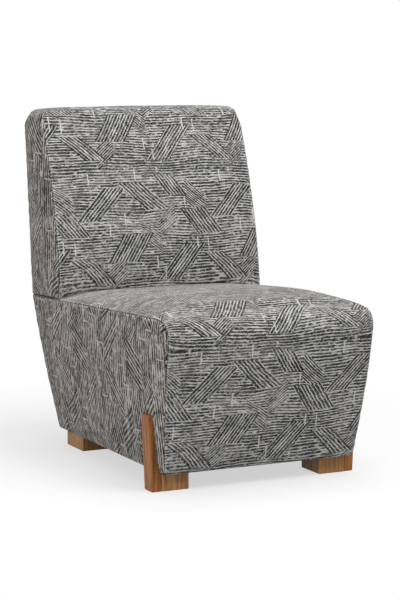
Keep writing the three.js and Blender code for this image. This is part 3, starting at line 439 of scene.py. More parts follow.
def eased(aside: np.ndarray, above: np.ndarray, radius: Any) -> tuple[np.ndarray, np.ndarray]:
    """Where the points of a square corner lie once the corner is an arc.

    Args:
        aside: How far each point lies beyond the arc's centre to the side.
        above: How far it lies beyond the centre upwards.
        radius: The arc's radius, one for all points or one for each.

    Returns:
        The new distances, the same where the corner isn't reached.
    """
    in_side, in_rise = np.minimum(aside, radius), np.minimum(above, radius)
    crown = np.maximum(aside - radius, 0.0) + np.maximum(above - radius, 0.0)
    crown = crown * (1.0 - np.minimum(in_side, in_rise) / radius)
    share = (np.maximum(in_side, in_rise) + crown) / np.maximum(np.hypot(in_side, in_rise), 1e-9)
    both = (aside > 0.0) & (above > 0.0)
    return np.where(both, in_side * share, aside), np.where(both, in_rise * share, above)


def round_foot(points: np.ndarray, half: float, level: float, radius: Any) -> np.ndarray:
    """Points with the edge between a panel's sides and its foot rounded.

    Args:
        points: Points in the chair's own depth and height.
        half: Half of the width at that edge.
        level: The edge's height.
        radius: The rounding's radius, one for all points or one for each.

    Returns:
        The moved points.
    """
    out, down = eased(np.abs(points[..., 0]) - half + radius, level - points[..., 2] + radius, radius)
    moved = points.copy()
    moved[..., 0] = np.sign(points[..., 0]) * (half - radius + out)
    moved[..., 2] = level + radius - down
    return moved


def configure(target: Any, **settings: Any) -> None:
    """Sets properties in the order given."""
    for name, value in settings.items():
        setattr(target, name, value)


def linked(name: str, data: Any) -> bpy.types.Object:
    """A new object in the scene for a mesh, lamp or camera."""
    made = bpy.data.objects.new(name, data)
    bpy.context.scene.collection.objects.link(made)
    return made


def smooth_faces(mesh: bpy.types.Mesh) -> None:
    """Shades every face smoothly."""
    mesh.polygons.foreach_set("use_smooth", [True] * len(mesh.polygons))


def modify(made: bpy.types.Object, kind: str, **settings: Any) -> None:
    """Adds a modifier with its settings."""
    configure(made.modifiers.new(kind.lower(), kind), **settings)


def apply_modifiers(made: bpy.types.Object) -> None:
    """Turns an object's modifiers into plain mesh."""
    graph = bpy.context.evaluated_depsgraph_get()
    mesh = bpy.data.meshes.new_from_object(made.evaluated_get(graph), depsgraph=graph)
    made.modifiers.clear()
    made.data = mesh


def outfit(made: bpy.types.Object, finish: bpy.types.Material, slot: Slot, node: str) -> None:
    """Gives a piece its finish and its body, and hides the node that it stands for."""
    made.data.materials.clear()
    made.data.materials.append(finish)
    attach(made, BODY)
    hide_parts(node)
    LOG.info("%s: %d faces", made.name, len(made.data.polygons))


def add_object(
    name: str, vertices: np.ndarray, faces: list[Sequence[int]], cloth: np.ndarray | None = None,
    seam: np.ndarray | None = None,
) -> bpy.types.Object:
    """A mesh object whose faces point out, with its cloth places as UV maps.

    Args:
        name: The piece's name.
        vertices: Its points, in the chair's frame.
        faces: Its faces, as indices.
        cloth: Each point's place on the cloth, if the piece is cloth.
        seam: Each point's distance from its seam, if the piece is cloth.

    Returns:
        The new object.
    """
    mesh = bpy.data.meshes.new(name)
    fans = [(face[0], face[step], face[step + 1]) for face in faces for step in range(1, len(face) - 1)]
    corners = vertices[np.array(fans)]
    volume = np.einsum("ij,ij->", corners[:, 0], np.cross(corners[:, 1], corners[:, 2]))
    ordered = [tuple(reversed(face)) for face in faces] if volume < 0 else faces
    mesh.from_pydata(vertices.tolist(), [], ordered)
    smooth_faces(mesh)
    if cloth is not None and seam is not None:
        index = np.zeros(len(mesh.loops), np.int32)
        mesh.loops.foreach_get("vertex_index", index)
        edges = np.column_stack([seam, np.zeros_like(seam)])
        for map_name, places in ((CLOTH_MAP, cloth), (SEAM_MAP, edges)):
            layer = mesh.uv_layers.new(name=map_name)
            layer.data.foreach_set("uv", places[index].astype(np.float32).ravel())
    mesh.update()
    return linked(name, mesh)


def grid_faces(columns: int, rows: int) -> np.ndarray:
    """The faces of a grid of points."""
    number = np.arange(columns * rows).reshape(columns, rows)
    corners = [number[:-1, :-1], number[1:, :-1], number[1:, 1:], number[:-1, 1:]]
    return np.stack(corners, axis=-1).reshape(-1, 4)


def grid_shell(name: str, outer: Surface, inner: np.ndarray) -> bpy.types.Object:
    """A closed panel between two grids of the same size."""
    columns, rows = inner.shape[:2]
    size = columns * rows
    number = np.arange(size).reshape(columns, rows)
    near = grid_faces(columns, rows)
    faces = near.tolist() + (near[:, ::-1] + size).tolist()
    rim = [*number[:, 0], *number[-1, 1:], *number[-2::-1, -1], *number[0, -2:0:-1]]
    for a, b in zip(rim, rim[1:] + rim[:1]):
        faces.append([int(b), int(a), int(a) + size, int(b) + size])
    vertices = np.concatenate([outer.points.reshape(-1, 3), inner.reshape(-1, 3)])
    cloth = np.concatenate([outer.cloth.reshape(-1, 2)] * 2)
    seam = np.concatenate([outer.seam.ravel()] * 2)
    return add_object(name, vertices, faces, cloth, seam)


def ring_layer_faces(rings: int, count: int, first: int) -> list[list[int]]:
    """The faces of rings that close on a last point, from the first point's number."""
    faces = []
    for ring in range(rings - 2):
        low = first + ring * count
        for step in range(count):
            onward = (step + 1) % count
            faces.append([low + step, low + onward, low + count + onward, low + count + step])
    pole, low = first + (rings - 1) * count, first + (rings - 2) * count
    faces += [[low + step, low + (step + 1) % count, pole] for step in range(count)]
    return faces


def ring_shell(
    name: str, outer: np.ndarray, inner: np.ndarray, cloth: np.ndarray, seam: np.ndarray
) -> bpy.types.Object:
    """A closed panel between two sets of rings, each of which closes on a last point.

    Args:
        name: The piece's name.
        outer: Outer rings, rings by points by 3. The last ring's points all lie on the middle.
        inner: Inner rings of the same size.
        cloth: Each outer ring point's place on the cloth.
        seam: Each outer ring point's distance from the seam.

    Returns:
        The new object.
    """
    rings, count = outer.shape[:2]
    half = (rings - 1) * count + 1
    vertices = [outer[:-1].reshape(-1, 3), outer[-1, :1], inner[:-1].reshape(-1, 3), inner[-1, :1]]
    places = [cloth[:-1].reshape(-1, 2), cloth[-1, :1]] * 2
    edges = [seam[:-1].ravel(), seam[-1, :1]] * 2
    faces = ring_layer_faces(rings, count, 0)
    faces += [face[::-1] for face in ring_layer_faces(rings, count, half)]
    for step in range(count):
        onward = (step + 1) % count
        faces.append([onward, step, half + step, half + onward])
    return add_object(name, np.concatenate(vertices), faces, np.concatenate(places), np.concatenate(edges))


SETTLE_FRAMES = 20
SETTLING = {
    "quality": 4, "mass": 0.35, "tension_stiffness": 25.0, "compression_stiffness": 25.0,
    "shear_stiffness": 8.0, "bending_stiffness": 0.8, "use_pressure": True, "uniform_pressure_force": 4.0,
}


def settled(
    points: np.ndarray, faces: Sequence[Sequence[int]], outward: np.ndarray, pinned: np.ndarray, cap: float
) -> np.ndarray:
    """How far a simulated cloth swells outwards over its filling, held at its pinned points.

    Args:
        points: The cloth's points before it settles.
        faces: Its faces, as indices.
        outward: The way out at each point.
        pinned: Which points are sewn down.
        cap: The most that a point may move.

    Returns:
        One distance for each point.
    """
    face = faces[len(faces) // 2]
    across = np.cross(points[face[1]] - points[face[0]], points[face[2]] - points[face[0]])
    ordered = faces if across.dot(outward[face[0]]) > 0.0 else [list(reversed(face)) for face in faces]
    mesh = bpy.data.meshes.new("settling")
    mesh.from_pydata(points.tolist(), [], ordered)
    cloth = linked("settling", mesh)
    group = cloth.vertex_groups.new(name="sewn")
    group.add(np.flatnonzero(pinned).tolist(), 1.0, "REPLACE")
    settle = cloth.modifiers.new("settle", "CLOTH")
    configure(settle.settings, **SETTLING)
    settle.settings.vertex_group_mass = group.name
    settle.settings.effector_weights.gravity = 0.0
    settle.collision_settings.use_collision = False
    configure(settle.point_cache, frame_start=1, frame_end=SETTLE_FRAMES)
    scene = bpy.context.scene
    for frame_number in range(1, SETTLE_FRAMES + 1):
        scene.frame_set(frame_number)
    graph = bpy.context.evaluated_depsgraph_get()
    moved = np.zeros(len(points) * 3, np.float32)
    cloth.evaluated_get(graph).data.vertices.foreach_get("co", moved)
    bpy.data.objects.remove(cloth)
    bpy.data.meshes.remove(mesh)
    scene.frame_set(1)
    swell = np.einsum("ij,ij->i", moved.reshape(-1, 3) - points, outward)
    LOG.info("cloth settled: %.1f mm at most before its cap", float(np.abs(swell).max()) * 1000.0)
    return swell * cap / max(cap, float(np.abs(swell).max()))


def cut_box(made: bpy.types.Object, low: np.ndarray, high: np.ndarray) -> None:
    """Takes the box between two corners out of a piece."""
    xs, ys, zs = zip(low, high)
    vertices = np.array([(x, y, z) for x in xs for y in ys for z in zs])
    faces = [[0, 1, 3, 2], [4, 6, 7, 5], [0, 4, 5, 1], [2, 3, 7, 6], [0, 2, 6, 4], [1, 5, 7, 3]]
    room = add_object("room", vertices, faces)
    modify(made, "BOOLEAN", operation="DIFFERENCE", solver="EXACT", object=room)
    apply_modifiers(made)
    bpy.data.objects.remove(room)


# Shader trees


def operator(kind: str, swapped: bool = False) -> Callable[..., Field]:
    """An arithmetic method for Field.

    Args:
        kind: The operation of the Math node that it adds.
        swapped: Whether the other value comes first, as in a reflected operator.

    Returns:
        The method.
    """

    def method(self: Field, *others: Field | float) -> Field:
        """The Math node's result."""
        return self.tree.math(kind, *((*others, self) if swapped else (self, *others)))

    return method


class Field:
    """A value on a shader socket, with arithmetic that adds Math nodes."""

    def __init__(self, tree: ShaderTree, socket: bpy.types.NodeSocket) -> None:
        """Wraps one output socket of a tree."""
        self.tree, self.socket = tree, socket

    __add__, __radd__ = operator("ADD"), operator("ADD", True)
    __sub__, __rsub__ = operator("SUBTRACT"), operator("SUBTRACT", True)
    __mul__, __rmul__ = operator("MULTIPLY"), operator("MULTIPLY", True)
    __truediv__, __rtruediv__ = operator("DIVIDE"), operator("DIVIDE", True)
    __abs__, __lt__, __gt__ = operator("ABSOLUTE"), operator("LESS_THAN"), operator("GREATER_THAN")
    floor, fract, sine, root = operator("FLOOR"), operator("FRACT"), operator("SINE"), operator("SQRT")
    maximum, minimum = operator("MAXIMUM"), operator("MINIMUM")

    def clamped(self) -> Field:
        """This value held between 0 and 1."""
        return self.maximum(0.0).minimum(1.0)


def add_node(
    tree: bpy.types.NodeTree, kind: str, settings: dict[str, Any], sockets: dict[Any, Any]
) -> bpy.types.Node:
    """Adds a node, with its settings first and then the values or links of its sockets.

    Args:
        tree: The tree that gets the node.
        kind: The node's type.
        settings: Its properties.
        sockets: Values, fields or output sockets, by input name or number.

    Returns:
        The node.
    """
    made = tree.nodes.new(kind)
    configure(made, **settings)
    for key, value in sockets.items():
        if isinstance(value, Field):
            value = value.socket
        if isinstance(value, bpy.types.NodeSocket):
            tree.links.new(value, made.inputs[key])
        else:
            made.inputs[key].default_value = value
    return made


class ShaderTree:
    """A material's node tree, with one method for every kind of node."""

    def __init__(self, name: str) -> None:
        """Starts an empty material."""
        self.material = bpy.data.materials.new(name)
        self.material.use_nodes = True
        self.material.node_tree.nodes.clear()

    def node(self, kind: str, settings: dict[str, Any], sockets: dict[Any, Any]) -> bpy.types.Node:
        """One node of this tree."""
        return add_node(self.material.node_tree, kind, settings, sockets)

    def value(
        self, kind: str, settings: dict[str, Any], sockets: dict[Any, Any], output: Any = 0
    ) -> Field:
        """One output of a new node."""
        return Field(self, self.node(kind, settings, sockets).outputs[output])

    def math(self, operation: str, *values: Field | float) -> Field:
        """The result of one Math node."""
        return self.value("ShaderNodeMath", {"operation": operation}, dict(enumerate(values)))

    def noise(self, x: Any, y: Any, z: Any, detail: float = 2.0, roughness: float = 0.5) -> Field:
        """Noise at a point whose coordinates are already in waves."""
        place = self.value("ShaderNodeCombineXYZ", {}, {0: x, 1: y, 2: z})
        sockets = {"Vector": place, "Scale": 1.0, "Detail": detail, "Roughness": roughness}
        return self.value("ShaderNodeTexNoise", {"noise_dimensions": "3D"}, sockets)

    def chance(self, number: Field, seed: float) -> Field:
        """A random value from 0 to 1 for each whole number."""
        place = self.value("ShaderNodeCombineXYZ", {}, {0: number, 1: seed, 2: 0.0})
        return self.value("ShaderNodeTexWhiteNoise", {"noise_dimensions": "3D"}, {"Vector": place}, "Value")

    def step(self, value: Field, low: Any, high: Any) -> Field:
        """A smooth step of a value, from 0 at low to 1 at high."""
        settings = {"interpolation_type": "SMOOTHSTEP", "clamp": True}
        sockets = {"Value": value, "From Min": low, "From Max": high}
        return self.value("ShaderNodeMapRange", settings, sockets, "Result")

    def colours(self, share: Any, first: Any, second: Any) -> Field:
        """A mix of two colours."""
        settings = {"data_type": "RGBA", "blend_type": "MIX", "clamp_factor": True}
        return self.value("ShaderNodeMix", settings, {0: share, 6: first, 7: second}, 2)

    def parts(self, vector: bpy.types.NodeSocket) -> tuple[Field, Field, Field]:
        """A vector's three values."""
        split = self.node("ShaderNodeSeparateXYZ", {}, {0: vector}).outputs
        return Field(self, split[0]), Field(self, split[1]), Field(self, split[2])

    def cloth_place(self, map_name: str = CLOTH_MAP) -> tuple[Field, Field]:
        """Both values of a UV map, in metres."""
        return self.parts(self.node("ShaderNodeUVMap", {"uv_map": map_name}, {}).outputs[0])[:2]

    def object_place(self) -> tuple[Field, Field, Field]:
        """Object coordinates, in metres."""
        return self.parts(self.node("ShaderNodeTexCoord", {}, {}).outputs["Object"])

    def finish(
        self, colour: Any, roughness: Any, height: Field | None = None, depth: float = 0.0, **fixed: float
    ) -> bpy.types.Material:
        """Closes the tree with a surface shader.

        Args:
            colour: The base colour, fixed or varying.
            roughness: The roughness, fixed or varying.
            height: A height from 0 to 1 for the bump, if there is one.
            depth: How deep that bump is, in metres.
            fixed: Other inputs of the shader, with underscores for spaces.

        Returns:
            The material.
        """
        sockets: dict[str, Any] = {"Base Color": colour, "Roughness": roughness}
        sockets.update({name.replace("_", " "): value for name, value in fixed.items()})
        if height is not None:
            bump = self.node("ShaderNodeBump", {}, {"Strength": 1.0, "Distance": depth, "Height": height})
            sockets["Normal"] = bump.outputs[0]
        shader = self.node("ShaderNodeBsdfPrincipled", {}, sockets)
        self.node("ShaderNodeOutputMaterial", {}, {"Surface": shader.outputs[0]})
        return self.material


def tone(red: float, green: float, blue: float) -> Colour:
    """A colour from display values of 0 to 255."""

    def linear(value: float) -> float:
        """One channel as light."""
        share = value / 255.0
        return share / 12.92 if share <= 0.04045 else ((share + 0.055) / 1.055) ** 2.4

    return linear(red), linear(green), linear(blue), 1.0


# Finishes


@dataclass(frozen=True)
class Patch:
    """A patch in a repeat of the cloth where the lines slant, or where they bend and run on."""

    across: float
    along: float
    half_width: float
    half_height: float
    lean: float
    weight: float = 0.12


BROKEN_PATCHES = (
    Patch(0.055, 0.060, 0.034, 0.046, 0.85),
    Patch(0.180, 0.045, 0.030, 0.034, -1.0, 0.05),
    Patch(0.285, 0.100, 0.042, 0.038, 0.65),
    Patch(0.120, 0.165, 0.038, 0.030, -0.8, 0.06),
    Patch(0.215, 0.215, 0.032, 0.042, 0.95),
    Patch(0.335, 0.235, 0.036, 0.034, -1.1),
    Patch(0.040, 0.262, 0.028, 0.028, -0.7, 0.08),
)
BENT_PATCHES = (
    Patch(0.110, 0.248, 0.030, 0.034, 0.9),
    Patch(0.245, 0.016, 0.024, 0.030, -0.85),
    Patch(0.345, 0.150, 0.026, 0.028, 0.8),
    Patch(0.022, 0.150, 0.024, 0.026, -0.8),
)
TICKS = (
    (0.104, 0.110), (0.134, 0.106), (0.232, 0.150), (0.006, 0.030), (0.186, 0.280),
    (0.276, 0.178), (0.356, 0.060), (0.076, 0.212), (0.316, 0.292),
)


@dataclass(frozen=True)
class Finish:
    """What every finish has: a name, a light and a dark colour."""

    name: str
    light: Colour
    dark: Colour


@dataclass(frozen=True)
class HatchCloth(Finish):
    """A woven cloth of broken dark hatch lines on a pale ground, with slanted patches and pale ticks."""

    # How strong the painted highlight on each seam's rolled edge is.
    edge_line: float
    blotch: float
    pitch: float = 0.0074
    repeat_across: float = 0.372
    repeat_along: float = 0.318
    grain: float = 1.1
    relief: float = 0.0006
    warp_pitch: float = 0.0011
    # Where the painted shade in the seam's groove fades out, in metres from the seam.
    groove_edges: tuple[float, float] = (0.0006, 0.0022)
    # Where the painted highlight on the rolled edge rises and fades, in metres from the seam.
    roll_edges: tuple[float, float, float, float] = (0.0022, 0.0034, 0.0046, 0.0062)
    tick_edges: tuple[float, float] = (0.0009, 0.0021)
    tick_half_length: float = 0.016

    def build(self) -> bpy.types.Material:
        """The material."""
        tree = ShaderTree(self.name)
        across, along = tree.cloth_place()
        sway = tree.noise(across * 6.0, along * 9.0, 1.3, 1.0) - 0.5
        stray = tree.noise(across * 60.0, along * 90.0, 4.1, 2.0) - 0.5
        u = across + sway * 0.010 + stray * 0.0030
        v = along + sway * 0.024 + stray * 0.0034
        line, motif = self._lines(tree, u, v)
        count = line / self.pitch
        number = count.floor()
        edge = abs(count - number - 0.5) * 2.0
        zone = tree.step(tree.noise(across * 9.0, along * 15.0, 7.7, 2.0), 0.34, 0.62)
        body = tree.noise(across * 36.0, number * 2.7, along * 26.0, 3.0, 0.65)
        thick = (body * 1.5 - 0.13 + (tree.chance(number, 3.0) - 0.5) * 0.3 + motif * 0.05).minimum(0.8)
        inked = 1.0 - tree.step(edge, thick - 0.16, thick + 0.16)
        breaks = tree.step(tree.noise(across * 62.0, number * 5.3, along * 40.0, 2.0), 0.56, 0.66)
        inked = inked * (1.0 - breaks * 0.7 * (1.0 - motif * 0.6))
        strength = (zone * 0.22 + 0.84).maximum(motif)
        ground = tree.step(tree.noise(across * 48.0, number * 3.1, along * 30.0, 2.0), 0.42, 0.64) * 0.46
        yarn = tree.noise(across * 280.0, along * 560.0, 2.0, 3.0, 0.7) - 0.5
        flecks = tree.noise(across * 150.0, along * 380.0, 5.2, 3.0, 0.6) - 0.5
        clouds = tree.noise(across * 36.0, along * 95.0, 3.6, 3.0, 0.6) - 0.5
        slub = tree.step(tree.noise(across * 70.0, along * 120.0, 9.4, 1.0), 0.69, 0.75)
        # The seam term adds painted shade in the seam's groove and a painted highlight on its rolled edge.
        mask = (
            inked * strength + (1.0 - inked) * ground + yarn * self.grain + flecks * 2.0
            + clouds * self.blotch + slub * 0.5 - self._ticks(tree, u, v) * 0.95 + self._seam_line(tree)
        ).clamped()
        colour = tree.colours(mask, self.light, self.dark)
        turns = math.tau / self.warp_pitch
        warp = (across * turns).sine() * (along * turns).sine()
        height = inked * -0.4 + yarn * 1.1 + flecks * 0.5 + warp * 0.1
        return tree.finish(
            colour, 0.93, height, self.relief, Sheen_Weight=0.22, Sheen_Roughness=0.45,
            Specular_IOR_Level=0.2,
        )

    def _seam_line(self, tree: ShaderTree) -> Field:
        """Painted shade as a dark line in the seam's groove, and a painted highlight as a pale band on the
        rolled edge beside it.
        """
        inside, _ = tree.cloth_place(SEAM_MAP)
        # Painted shade: darkest in the seam's groove.
        painted_groove_shade = 1.0 - tree.step(inside, *self.groove_edges)
        # Painted highlight: a pale band on the rolled edge.
        rolled = tree.step(inside, *self.roll_edges[:2]) * (1.0 - tree.step(inside, *self.roll_edges[2:]))
        return painted_groove_shade * 0.4 - rolled * self.edge_line

    def _wrapped(self, value: Field, place: float, repeat: float) -> Field:
        """How far a value lies from the nearest repeat of a place."""
        return (((value - place) / repeat + 0.5).fract() - 0.5) * repeat

    def _lines(self, tree: ShaderTree, u: Field, v: Field) -> tuple[Field, Field]:
        """The coordinate that counts the lines, and one inside the patches."""
        line, motif = v, u * 0.0
        for bend in BENT_PATCHES:
            aside = self._wrapped(u, bend.across, self.repeat_across)
            shift = (aside + bend.half_width) * bend.lean
            above = self._wrapped(v, bend.along, self.repeat_along) + shift
            inside = (abs(aside) < bend.half_width) * (abs(above) < bend.half_height)
            line = line + inside * shift
            motif = motif.maximum(inside * 0.7)
        for patch in BROKEN_PATCHES:
            above = self._wrapped(v, patch.along, self.repeat_along)
            slant = self._wrapped(u, patch.across, self.repeat_across) - above * patch.lean
            inside = (abs(slant) < patch.half_width) * (abs(above) < patch.half_height)
            square = slant / math.hypot(1.0, patch.lean)
            line = line + inside * (square - line)
            motif = motif.maximum(inside * (0.88 + patch.weight))
        return line, motif

    def _ticks(self, tree: ShaderTree, u: Field, v: Field) -> Field:
        """Thin pale strokes that cross the lines."""
        total = u * 0.0
        for across, along in TICKS:
            aside = abs(self._wrapped(u, across, self.repeat_across))
            above = abs(self._wrapped(v, along, self.repeat_along))
            thin = 1.0 - tree.step(aside, *self.tick_edges)
            total = total.maximum(thin * (above < self.tick_half_length))
        return total


@dataclass(frozen=True)
class StainedWood(Finish):
    """Stained oak whose grain stands upright, with fine dark pores."""

    def build(self) -> bpy.types.Material:
        """The material."""
        tree = ShaderTree(self.name)
        x, y, z = tree.object_place()
        drift = tree.noise(x * 9.0, y * 9.0, z * 3.0, 2.0) - 0.5
        bands = tree.noise(x * 130.0 + drift * 2.0, y * 130.0, z * 7.0, 4.0, 0.6)
        pores = tree.step(tree.noise(x * 800.0, y * 800.0, z * 60.0, 1.0), 0.60, 0.72)
        figure = tree.step(bands, 0.3, 0.72)
        colour = tree.colours(figure, self.light, self.dark)
        mottle = tree.noise(x * 30.0, y * 30.0, z * 22.0, 2.0)
        colour = tree.colours(tree.step(mottle, 0.4, 0.8) * 0.35, colour, self.dark)
        colour = tree.colours(pores * 0.55, colour, tuple(part * 0.4 for part in self.dark[:3]) + (1.0,))
        return tree.finish(
            colour, figure * 0.12 + 0.40 + pores * 0.2, 1.0 - pores, 0.00012, Coat_Weight=0.06,
            Coat_Roughness=0.3, Specular_IOR_Level=0.25,
        )


@dataclass(frozen=True)
class FrameTimber(Finish):
    """Raw frame timber: planed beech, or plywood with its layers."""

    layer: float

    def build(self) -> bpy.types.Material:
        """The material."""
        tree = ShaderTree(self.name)
        x, y, z = tree.object_place()
        grain = tree.noise(x * 8.0, y * 70.0, z * 70.0, 4.0, 0.6)
        layers = ((x / self.layer).floor() * 0.5).fract() * 2.0
        figure = (tree.step(grain, 0.3, 0.75) * 0.7 + layers * 0.2).clamped()
        flecks = tree.step(tree.noise(x * 60.0, y * 400.0, z * 400.0, 1.0), 0.66, 0.76)
        colour = tree.colours(figure, self.light, self.dark)
        colour = tree.colours(flecks * 0.4, colour, self.dark)
        return tree.finish(colour, grain * 0.15 + 0.6, grain, 0.0002)


@dataclass(frozen=True)
class Filling(Finish):
    """Foam cells, batting fibres, or plain woven inner cloth."""

    cell: float
    relief: float
    roughness: float = 0.95

    def build(self) -> bpy.types.Material:
        """The material."""
        tree = ShaderTree(self.name)
        x, y, z = tree.object_place()
        waves_per_metre = 1.0 / self.cell
        cells = tree.noise(x * waves_per_metre, y * waves_per_metre, z * waves_per_metre, 3.0, 0.7)
        cloud = tree.noise(x * 12.0, y * 12.0, z * 12.0, 2.0)
        share = (tree.step(cells, 0.3, 0.7) * 0.7 + cloud * 0.4).clamped()
        colour = tree.colours(share, self.light, self.dark)
        return tree.finish(colour, self.roughness, cells, self.relief)


@dataclass(frozen=True)
class SpringSteel(Finish):
    """Oiled steel wire and pressings, with faint rust in places."""

    def build(self) -> bpy.types.Material:
        """The material."""
        tree = ShaderTree(self.name)
        x, y, z = tree.object_place()
        film = tree.noise(x * 35.0, y * 35.0, z * 35.0, 3.0)
        scuffs = tree.noise(x * 500.0, y * 90.0, z * 500.0, 2.0)
        rust = tree.step(film, 0.62, 0.75)
        colour = tree.colours(rust, self.light, self.dark)
        return tree.finish(colour, scuffs * 0.25 + 0.28 + rust * 0.3, scuffs, 0.00008, Metallic=0.9)


def make_finishes() -> dict[Slot, bpy.types.Material]:
    """Every finish of the chair, by its slot."""
    makers: dict[Slot, Finish] = {
        # The painted highlight on the rolled seam edges is stronger on the front cloth than on the side
        # cloth.
        Slot.FRONT_CLOTH: HatchCloth(
            "front_hatch_cloth", tone(201, 199, 195), tone(36, 36, 39), edge_line=0.25, blotch=0.5),
        Slot.SIDE_CLOTH: HatchCloth(
            "side_hatch_cloth", tone(204, 197, 190), tone(34, 31, 30), edge_line=0.1, blotch=1.9,
            pitch=0.0105),
        Slot.FOAM: Filling("seat_foam_cells", tone(235, 226, 198), tone(208, 192, 150), 0.0016, 0.0004),
        Slot.BATTING: Filling("polyester_batting", tone(244, 243, 238), tone(214, 212, 204), 0.004, 0.001),
        Slot.CAMBRIC: Filling("black_cambric", tone(34, 34, 36), tone(18, 18, 20), 0.0011, 0.0002),
        Slot.WEBBING: Filling("elastic_webbing", tone(66, 58, 50), tone(38, 34, 31), 0.0014, 0.0004),
        Slot.FRAME_TIMBER: FrameTimber("planed_beech", tone(216, 184, 138), tone(178, 138, 92), 1.0),
        Slot.PLYWOOD: FrameTimber("birch_plywood", tone(224, 198, 152), tone(168, 128, 84), 0.0015),
        Slot.STAINED_OAK: StainedWood("brown_stained_oak", tone(186, 120, 58), tone(126, 77, 35)),
        Slot.SPRING_STEEL: SpringSteel("oiled_spring_steel", tone(112, 114, 118), tone(92, 68, 52)),
    }
    return {slot: maker.build() for slot, maker in makers.items()}


NODE_STARTS: dict[Slot, tuple[str, ...]] = {
    Slot.FOAM: ("seat_foam", "front_pad", "back_foam"),
    Slot.BATTING: ("base_side_pad", "back_side_pad"),
    Slot.PLYWOOD: ("base_side_panel", "back_post"),
    Slot.STAINED_OAK: ("front_foot", "rear_foot"),
    Slot.SPRING_STEEL: ("seat_spring", "front_spring_clip", "rear_spring_clip", "foot_bolt", "back_bolt"),
    Slot.WEBBING: ("back_webbing", "seat_deck_cloth"),
    Slot.CAMBRIC: ("dust_cover",),
}


def slot_of_node(name: str) -> Slot:
    """The slot of a carried-over node, from the start of its name."""
    return next((slot for slot, starts in NODE_STARTS.items() if name.startswith(starts)), Slot.FRAME_TIMBER)


# Upholstery


# The rings' insets in metres, and the rows' places as shares of an edge.
RING_INSETS = (0.0, 0.0007, 0.0015, 0.0026, 0.004, 0.006, 0.009, 0.013, 0.018, 0.025)
RING_SHARES = (0.93, 0.85, 0.76, 0.66, 0.55, 0.44, 0.32, 0.2, 0.1, 0.0)
FRONT_ROW_SHARES = (0.012, 0.03, 0.06, 0.1, 0.16, 0.24, 0.36, 0.5, 0.66, 0.8)
SEAT_ROW_SHARES = (0.16, 0.26, 0.36, 0.48, 0.62, 0.74, 0.84, 0.93, 1.0)
BACK_ROW_SHARES = (0.1, 0.16, 0.22, 0.3, 0.38, 0.46, 0.55, 0.64, 0.72, 0.8, 0.88)
REAR_ROW_SHARES = tuple(np.linspace(0.02, 0.98, 41))
OUTLINE_SHARES = (0.2, 0.5, 0.8)


